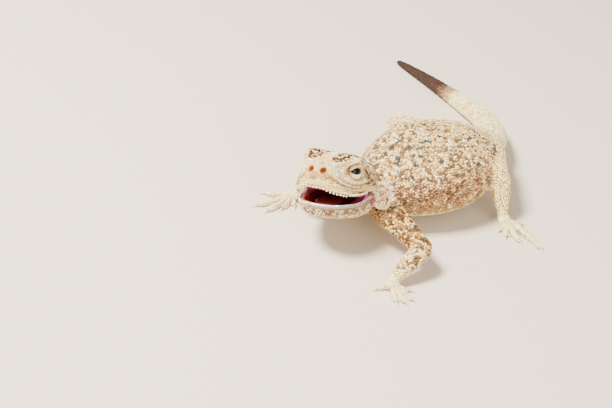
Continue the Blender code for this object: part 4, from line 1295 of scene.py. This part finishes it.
# The eyes
# A lizard's eye is a wet ball under a clear cornea, of which only a lid slit shows. Each is one ball
# with its dark iris and black pupil painted where it looks, set into the socket in the hide.
EYE_RADIUS = 2.95
CORNEA_IOR = 1.376
wet_eye, tree, shader, where = new_material("wet eye, dark iris under a clear cornea")
streaks = add_node(tree, "ShaderNodeTexNoise", Vector=where, Scale=per_metre(0.2), Detail=4.0)
painted_through(tree, shader, streaks, 0.6, 1.5)
shader.inputs["Roughness"].default_value = 0.06
shader.inputs["IOR"].default_value = CORNEA_IOR
shader.inputs["Specular IOR Level"].default_value = 0.3
for sign, word in SIDES:
    bpy.ops.mesh.primitive_uv_sphere_add(
        segments=48, ring_count=32, radius=EYE_RADIUS * MM, location=HEAD @ eye_at(sign)
    )
    bpy.ops.object.transform_apply()
    bpy.ops.object.shade_smooth()
    eyeball = bpy.context.view_layer.objects.active
    eyeball.name = "eyeball_" + word
    seen = seen_by_eye(in_head(read(eyeball.data.vertices)), sign)
    from_pupil = np.hypot(seen[:, 0], seen[:, 1])
    pupil, iris_rim = between(from_pupil, 1.25, 1.0), between(from_pupil, 1.8, 2.1)
    paint(eyeball, layered(seen, "1C0E08", ("040202", pupil), ("070404", iris_rim)))
    eyeball.data.materials.append(wet_eye)
    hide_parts("eye_" + word)
    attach(eyeball, "root")

# The lids
# Two pale rolls of thin skin close over each eye, the upper one thicker, with a short comb of pointed
# scales along each edge that keeps sand out.
UPPER_LID = ((-2.5, 0.2), (-1.8, 1.05), (-0.8, 1.5), (0.3, 1.45), (1.2, 1.1), (2.1, 0.4), (2.75, -0.25))
LOWER_LID = ((-2.5, 0.2), (-1.8, -0.8), (-0.8, -1.4), (0.4, -1.62), (1.3, -1.4), (2.1, -0.9), (2.75, -0.25))
LID_RADIUS = 3.2
# A pointed scale has five rings of six corners: the share of its length and width at each ring.
CONE_CORNERS = np.radians(np.arange(6) * 60.0)
CONE_STEPS = np.array([0.0, 0.22, 0.5, 0.78, 1.0])
CONE_WIDTHS = np.array([1.0, 1.0, 0.78, 0.42, 0.08])
CONE_BEND = 0.32
CONE_FACES = [(5, 4, 3, 2, 1, 0), (24, 25, 26, 27, 28, 29)]
CONE_FACES += [
    (ring * 6 + k, ring * 6 + (k + 1) % 6, ring * 6 + 6 + (k + 1) % 6, ring * 6 + 6 + k)
    for ring in range(4)
    for k in range(6)
]
PALE_TIP = "FFF3DE"


def cones(name, roots, ways, bends, lengths, widths, depths, tones, material=horny_scale):
    """Pointed scales as one piece: each bends towards bends, and lengths, widths, depths are in mm.

    tones is the colour at the root and at the tip.
    """
    count = len(roots)
    roots, ways, bends = (np.array(rows, float) for rows in (roots, ways, bends))
    ways = unit(ways)
    bends -= ways * (bends * ways).sum(axis=1)[:, None]
    bends /= np.maximum(np.linalg.norm(bends, axis=1), 1e-6)[:, None]
    sides = np.cross(bends, ways)
    roots, ways, bends, sides = (rows[:, None, None, :] for rows in (roots, ways, bends, sides))
    lengths, widths, depths = (
        np.broadcast_to(rows, count).astype(float)[:, None, None, None] for rows in (lengths, widths, depths)
    )
    step, girth = CONE_STEPS[None, :, None, None], CONE_WIDTHS[None, :, None, None]
    middle = roots + ways * step * lengths * MM + bends * (CONE_BEND * step**2) * lengths * MM
    wide = girth * widths * np.cos(CONE_CORNERS)[None, None, :, None]
    thick = girth * depths * np.sin(CONE_CORNERS)[None, None, :, None]
    points = middle - sides * wide * MM + bends * thick * MM
    root_tone, tip_tone = (np.array(tone).reshape(-1, 1, 1, 3) for tone in tones)
    share = step**1.2
    shades = np.broadcast_to(root_tone * (1 - share) + tip_tone * share, (count, 5, 6, 3))
    patches = np.stack(np.broadcast_arrays(
        (np.arange(count)[:, None, None] + 0.2 + 0.6 * CONE_STEPS[None, :, None]) / (count + 1),
        (np.arange(6)[None, None, :] + 0.5) * 0.0005 + 0.01,
    ), axis=-1)
    piece_of_copies(
        name, points.reshape(-1, 3), shades.reshape(-1, 3), patches.reshape(-1, 2),
        CONE_FACES, count, material,
    )


def along(line, spacing):
    """Points spaced evenly along a curve through these, and the curve's direction at each."""
    curve = eased(line, 12)
    lengths = lengths_to(curve)
    wanted = np.linspace(0.0, lengths[-1], max(int(lengths[-1] / spacing), 2) + 1)
    points = np.stack([np.interp(wanted, lengths, curve[:, k]) for k in range(curve.shape[1])], axis=1)
    return points, unit(np.gradient(points, axis=0))


def turned_by(matrix, ways):
    """Directions of a frame as world directions."""
    table = np.array(matrix)[:3, :3] / MM
    return ways @ table.T


# Thin bare skin, finely grained and a little moist at the eye.
lid_skin = hide_like("thin lid skin", 0.45, 0.3, 0.05, coat=0.15)
# Each lid: its name and line, the roll's half thickness, the way it opens and its comb's length.
LIDS = (("upper", UPPER_LID, 0.3, 1, 0.5), ("lower", LOWER_LID, 0.27, -1, 0.42))
for sign, word in SIDES:
    centre, axes = np.array(eye_at(sign)), frame_of_eye(sign)
    for lid_name, lid, thick, lift, comb_length in LIDS:
        bow = eased(lid, 5)
        out_of_eye = np.sqrt(np.maximum(LID_RADIUS**2 - bow[:, 0] ** 2 - bow[:, 1] ** 2, 1.0))
        spots = centre + np.column_stack([bow, out_of_eye]) @ axes
        taper = 0.45 + 0.55 * np.sin(np.linspace(0.12, math.pi - 0.12, len(bow)))
        rows = [(*spot, thick * t, thick * t * 0.9) for spot, t in zip(spots, taper)]
        roll = swept(f"{lid_name}_lid_{word}", rows, 14, HEAD, axes[2])
        grain = cloudy(in_head(read(roll.data.vertices)), 0.5, 71)
        paint(roll, layered(grain, "F8E8C8", ("B98E68", grain * 0.6)))
        roll.data.materials.append(lid_skin)
        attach(roll, "root")
        comb, _ = along(np.column_stack([bow * 1.08, out_of_eye + 0.1]), 0.42)
        fan = np.column_stack([comb[:, 0] * 0.25, np.full(len(comb), lift * 1.0), np.full(len(comb), 0.75)])
        cones(
            f"{lid_name}_lid_comb_{word}", through(HEAD, centre + comb @ axes),
            turned_by(HEAD, fan @ axes), turned_by(HEAD, np.tile(axes[1] * lift, (len(comb), 1))),
            comb_length, 0.2, 0.15, (linear("E0C6A2"), linear("FAF3E4")),
        )

# The lips
# The mouth is edged above by a row of small white tooth-like scales with rows of finer ones over it,
# and below by a smooth pale roll of skin over three rows of small scales.
TOOTH_SPACING, TOOTH_SIZE = 1.28, (0.98, 0.84, 0.56)
# The rows over and under the lips: height over the lip's edge, spacing and colour.
UPPER_ROWS = (
    (0.5, 0.92, "FFE594"), (1.02, 0.88, "F0CC76"), (1.52, 0.84, "FFE29A"), (2.0, 0.8, "EFCB80"),
    (2.46, 0.78, "FBDFA0"),
)
LOWER_ROWS = ((-0.6, 0.82, "DACBC4"), (-1.08, 0.74, "C8A678"), (-1.55, 0.72, "A07A50"))


def whole_lip(lip):
    """A lip's edge from one corner of the mouth round to the other."""
    half = [(wide, y, z) for y, wide, z in lip]
    return [(-x, y, z) for x, y, z in reversed(half)] + half


def row_on_skin(line, place_of, rise, inset, spacing):
    """Roots, outward directions and ways along for a row of scales at a height over a lip's edge."""
    raised = [(x - math.copysign(inset, x), y + inset * 0.3, z + rise) for x, y, z in line]
    points, ways = along(raised, spacing)
    roots = np.array([skin_tree.find_nearest(point)[0] for point in through(place_of, points)])
    outward = np.array([out[skin_points.find(root)[1]] for root in roots])
    return roots, outward, turned_by(place_of, ways)


def plant_row(name, roots, outward, ways, size, colour, tip):
    """Plants one row of like beads whose length lies across the row's direction."""
    ways = unit(np.cross(outward, ways))
    ways[ways[:, 2] > 0] *= -1
    count = len(roots)
    sizes = np.tile(np.array(size, float), (count, 1)) * chance(count, 0.9, 1.12)[:, None]
    colours = np.tile(linear(colour), (count, 1)) * chance(count, 0.85, 1.1)[:, None]
    charts = np.column_stack([np.linspace(0.02, 0.96, count), np.full(count, 0.5)])
    forms = np.tile(FORMS["bead"], (count, 1, 1))
    plant(name, roots, outward, ways, sizes, forms, colours, np.full(count, tip), charts)


# The tooth-like row hangs from the edge itself, so its scales point down and out.
roots, outward, ways = row_on_skin(whole_lip(UPPER_LIP)[2:-2], HEAD, 0.05, 0.0, TOOTH_SPACING)
hanging = unit(outward * 0.8 + turned_by(HEAD, np.array([[0.0, 0.0, -0.5]])))
plant_row("tooth_scales", roots, hanging, ways, TOOTH_SIZE, "FFF2D0", 0.4)
for number, (rise, gap, colour) in enumerate(UPPER_ROWS):
    row = row_on_skin(whole_lip(UPPER_LIP)[1:-1], HEAD, rise, 0.06 * number, gap)
    plant_row(f"upper_labials_{number + 1}", *row, (0.6, gap * 1.02, 0.3), colour, 0.15)
for number, (rise, gap, colour) in enumerate(LOWER_ROWS):
    row = row_on_skin(whole_lip(LOWER_LIP)[1:-1], JAW, rise, 0.0, gap)
    plant_row(f"lower_labials_{number + 1}", *row, (0.6, 0.6, 0.36), colour, 0.3)

# Lip skin, bare, smooth and moist.
smooth_lip = hide_like("moist lip skin", 0.38, 0.7, 0.03, tone=0.08, coat=0.3)
set_in = [(x - math.copysign(0.3, x), y + 0.2, z - 0.25) for x, y, z in whole_lip(LOWER_LIP)[1:-1]]
roll_line, _ = along(set_in, 0.5)
swell = 0.28 + 0.08 * (cloudy(np.array(roll_line), 1.1, 78) - 0.5)
swell *= 0.4 + 0.6 * np.sin(np.linspace(0.0, math.pi, len(roll_line))) ** 0.25
lip_roll = swept("lower_lip", [(*spot, s, s * 1.1) for spot, s in zip(roll_line, swell)], 14, JAW)
spots = in_jaw(read(lip_roll.data.vertices))
paint(lip_roll, layered(
    spots, "F0F2F6",
    ("D2B2D0", between(np.abs(spots[:, 0]), 7.5, 11.5) * 0.75),
    ("8E7CA8", between(cloudy(spots, 0.8, 73), 0.45, 0.62) * 0.7),
    ("EFD8B0", between(cloudy(spots, 1.0, 79), 0.5, 0.65) * 0.7),
))
lip_roll.data.materials.append(smooth_lip)
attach(lip_roll, "root")

# The corners of the mouth
# A thin wet web of skin joins the jaws at each corner of the mouth. It is a curved sheet between the
# two lips, set in from their edges, and its free edge is hollow.
WEB_THICKNESS = 0.35
bpy.ops.mesh.primitive_grid_add(x_subdivisions=16, y_subdivisions=14, size=2.0)
web = bpy.context.view_layer.objects.active
web.name = "corner_webs"
flat = read(web.data.vertices)
height, back_share = flat[:, 1] / 2 + 0.5, flat[:, 0] / 2 + 0.5
reach = -9.4 - 2.6 * np.abs(2 * height - 1) ** 1.6
y = reach + (-4.6 - reach) * back_share
upper_wide, upper_edge = on_lip(UPPER_LIP, y)
lower_wide, lower_edge = on_lip(LOWER_LIP, y)
upper = np.column_stack([upper_wide - 0.8, y, upper_edge + 0.5])
lower = in_head(through(JAW, np.column_stack([lower_wide - 0.5, y, lower_edge - 0.2])))
sheet = lower + (upper - lower) * height[:, None]
sheet[:, 0] -= 0.5 * np.sin(math.pi * height) * (1 - back_share)
move_points(web, through(HEAD, sheet))
finish_with(web, "SOLIDIFY", thickness=WEB_THICKNESS * MM, offset=0.0)
other_web = new_piece("corner_webs_right", web.data.copy())
move_points(other_web, through(HEAD, in_head(read(other_web.data.vertices)) * [-1, 1, 1]))
hold(web, other_web)
bpy.ops.object.join()
face_outward(web)
fold = cloudy(in_head(read(web.data.vertices)), 0.8, 77)
paint(web, layered(fold, "B04678", ("D88AA8", between(fold, 0.4, 0.75) * 0.6)))
web.data.materials.append(wet_membrane)
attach(web, "root")

# The tongue
# A short fleshy tongue, wet and grooved down the middle, lies on the floor of the mouth. It is one
# rounded solid with fine bumps, maroon with a warmer tip.
bpy.ops.mesh.primitive_uv_sphere_add(segments=64, ring_count=40, radius=1.0)
tongue = bpy.context.view_layer.objects.active
tongue.name = "wet_tongue"
ball = read(tongue.data.vertices)
bumps = 0.5 * cloudy(ball * [4.8, 6.5, 1.5], 0.5, 75) + 0.5 * cloudy(ball * [4.8, 6.5, 1.5], 1.1, 76)
groove = ridge(ball[:, 0], 0.12) * between(ball[:, 2], 0.0, 0.5)
shaped = ball * [4.6, 6.3, 1.4] * (0.97 + 0.06 * bumps[:, None]) - np.outer(groove, [0.0, 0.0, 0.35])
local = shaped + [0.0, -14.4, -1.05]
move_points(tongue, through(JAW, local))
bpy.ops.object.shade_smooth()
flush = between(local[:, 1], -18.5, -21.0)
paint(tongue, layered(local, "5A1410", ("A04A38", flush * 0.5), ("7A241C", bumps * 0.5)))
tongue.data.materials.append(wet_membrane)
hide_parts("tongue")
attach(tongue, "root")

# The flap fringes
# When it threatens, the lizard spreads a fold of skin at each corner of the mouth, edged with rows of
# soft pointed scales, pale at the tips. They are set round the fold's free edge in three rows.
# Each row: how far it stands back from the edge, its spacing and its longest scale, in millimetres.
FRINGE_ROWS = ((-0.35, 0.62, 2.2), (0.15, 0.66, 1.9), (0.6, 0.7, 1.5))
for sign, word in SIDES:
    roots, fans, bends, lengths, widths = [], [], [], [], []
    rim = [(sign * x, y, z + high * 0.92) for x, y, z, _, high in FLAP]
    rim.append((sign * 18.6, -4.2, 0.5))
    rim += [(sign * x, y, z - high * 0.92) for x, y, z, _, high in reversed(FLAP)]
    for row_number, (back, gap, long) in enumerate(FRINGE_ROWS):
        spots, _ = along(rim[1:-1], gap)
        if row_number == 1:
            spots = (spots[:-1] + spots[1:]) / 2
        outward = spots - np.array([sign * 14.4, -6.0, 1.2])
        outward[:, 1] *= 0.3
        outward = unit(outward)
        outward[:, 1] += 0.1 - 0.25 * row_number
        outward += (rng.random((len(spots), 3)) - 0.5) * 0.5
        roots.append(spots + [0.0, back, 0.0] - outward * 0.35)
        fans.append(outward + [sign * 0.25, 0.0, 0.0])
        bends.append(np.tile([0.0, 1.0, 0.25], (len(spots), 1)))
        swing = chance(len(spots), 0.62, 1.15)
        high_rear = 0.5 + 0.5 * between(spots[:, 2], -2.5, 3.5)
        lengths.append(long * swing * high_rear * (0.7 + 0.3 * between(np.abs(spots[:, 0]), 12.5, 15.5)))
        widths.append(chance(len(spots), 0.22, 0.32))
    roots, fans, bends = np.vstack(roots), np.vstack(fans), np.vstack(bends)
    pinkness = between(roots[:, 1] + 0.2 * np.abs(roots[:, 0]), -3.0, -3.9)[:, None] * 0.5
    base = linear("C89C74") * (1 - pinkness) + linear("C0606E") * pinkness
    base = base * chance(len(roots), 0.7, 1.2)[:, None]
    cones(
        "flap_fringe_" + word, through(HEAD, roots), turned_by(HEAD, fans), turned_by(HEAD, bends),
        np.concatenate(lengths), np.concatenate(widths), 0.24, (base, linear(PALE_TIP)),
    )

# The toe combs
# Each digit that bears on sand has a comb of flat pointed scales down its outer side, and a shorter one
# down its inner side, which keep it from sinking in.
OUTER_COMB, INNER_COMB, FIRST_DIGIT_COMB = 1.7, 0.85, 0.8
COMB_SPACING = 0.75
comb_roots, comb_ways, comb_bends, comb_lengths = [], [], [], []
for number, at, length, comb_side in digits:
    flesh = 1.0 - CLAW_LENGTH / length
    count = int(length * flesh * 0.8 / COMB_SPACING)
    for side, longest in ((comb_side, OUTER_COMB), (-comb_side, INNER_COMB)):
        if number == 0:
            longest = FIRST_DIGIT_COMB
        for k in range(count):
            spot, way = at(flesh * (0.2 + 0.76 * (k + 0.5) / count))
            across = Vector((way.y, -way.x, 0.0)) * -side
            comb_roots.append((*(spot.xy + across.xy * 0.72), 0.75))
            comb_ways.append(across + way * 0.55 - Vector((0.0, 0.0, 0.12)))
            comb_bends.append(way)
            comb_lengths.append(longest * (0.8 + 0.2 * math.sin(math.pi * (k + 0.5) / count)))
cones(
    "toe_combs", through(BODY, np.array(comb_roots)), comb_ways, comb_bends, comb_lengths, 0.27, 0.16,
    (linear("F0DCB4"), linear(PALE_TIP)),
)

# The claws
# Each digit ends in a curved claw of clear yellowish horn, paler towards its worn tip.
claw_horn = hide_like("clear claw horn", 0.28, 0.4, 0.02, tone=0.1, coat=0.4)
claw_roots, claw_ways = [], []
for _, at, length, _ in digits:
    spot, way = at(1.0 - CLAW_LENGTH / length - 0.35 / length)
    claw_roots.append((spot.x, spot.y, 0.95))
    claw_ways.append((way.x, way.y, 0.05))
cones(
    "claws", through(BODY, np.array(claw_roots)), claw_ways, np.tile([0.0, 0.0, -1.0], (len(claw_roots), 1)),
    CLAW_LENGTH + 0.2, 0.36, 0.46, (linear("CDB48A"), linear("F0E2C4")), claw_horn,
)

# The floor, the light and the camera
# A plain pale floor under soft studio light: a large lamp high on the left, a fill on the right and
# a bright sky. The camera stands where the photograph's did, above and in front of the left shoulder.
bpy.ops.mesh.primitive_plane_add(size=3.0)
floor = bpy.context.view_layer.objects.active
floor.name = "floor"
card, tree, shader, where = new_material("matt paper")
fibre = add_node(tree, "ShaderNodeTexNoise", Vector=where, Scale=per_metre(3.0), Detail=4.0)
tint = add_node(
    tree, "ShaderNodeMix", {"data_type": "RGBA"}, _0=fibre.outputs["Fac"],
    _6=(*linear("D2C4B2"), 1.0), _7=(*linear("D8CBBA"), 1.0),
)
tree.links.new(tint.outputs[2], shader.inputs["Base Color"])
shader.inputs["Roughness"].default_value = 0.9
floor.data.materials.append(card)

LIT_SPOT = Vector((0.0, 0.0, 0.01))
for name, power, size, spot, colour in (
    ("key", 30.0, 0.22, (-0.22, -0.4, 0.72), (1.0, 0.95, 0.86)),
    ("fill", 6.0, 0.6, (0.7, -0.3, 0.3), (1.0, 0.97, 0.94)),
):
    light = bpy.data.lights.new(name, "AREA")
    light.energy, light.size, light.color = power, size, colour
    lamp = new_piece(name, light)
    lamp.location = spot
    lamp.rotation_euler = (LIT_SPOT - Vector(spot)).to_track_quat("-Z", "Y").to_euler()
world = bpy.data.worlds.new("sky")
bpy.context.scene.world = world
world.use_nodes = True
world.node_tree.nodes["Background"].inputs["Color"].default_value = (1.0, 0.97, 0.92, 1.0)
world.node_tree.nodes["Background"].inputs["Strength"].default_value = 0.8

ELEVATION, AZIMUTH, ROLL = math.radians(33.0), math.radians(40.0), math.radians(8.6)
CAMERA_AT = Vector((271.6, -374.5, 291.5))
LENS, SENSOR_WIDTH = 85.0, 36.0
back = Vector((
    math.sin(AZIMUTH) * math.cos(ELEVATION),
    -math.cos(AZIMUTH) * math.cos(ELEVATION),
    math.sin(ELEVATION),
))
level_right = Vector((math.cos(AZIMUTH), math.sin(AZIMUTH), 0.0))
right = level_right * math.cos(ROLL) + back.cross(level_right) * math.sin(ROLL)
camera_data = bpy.data.cameras.new("camera")
camera_data.lens = LENS
camera_data.sensor_width = SENSOR_WIDTH
camera_data.clip_start = 0.01
camera = new_piece("camera", camera_data)
view = Matrix((right, back.cross(right), back)).transposed().to_4x4()
view.translation = BODY @ CAMERA_AT
camera.matrix_world = view
bpy.context.scene.camera = camera
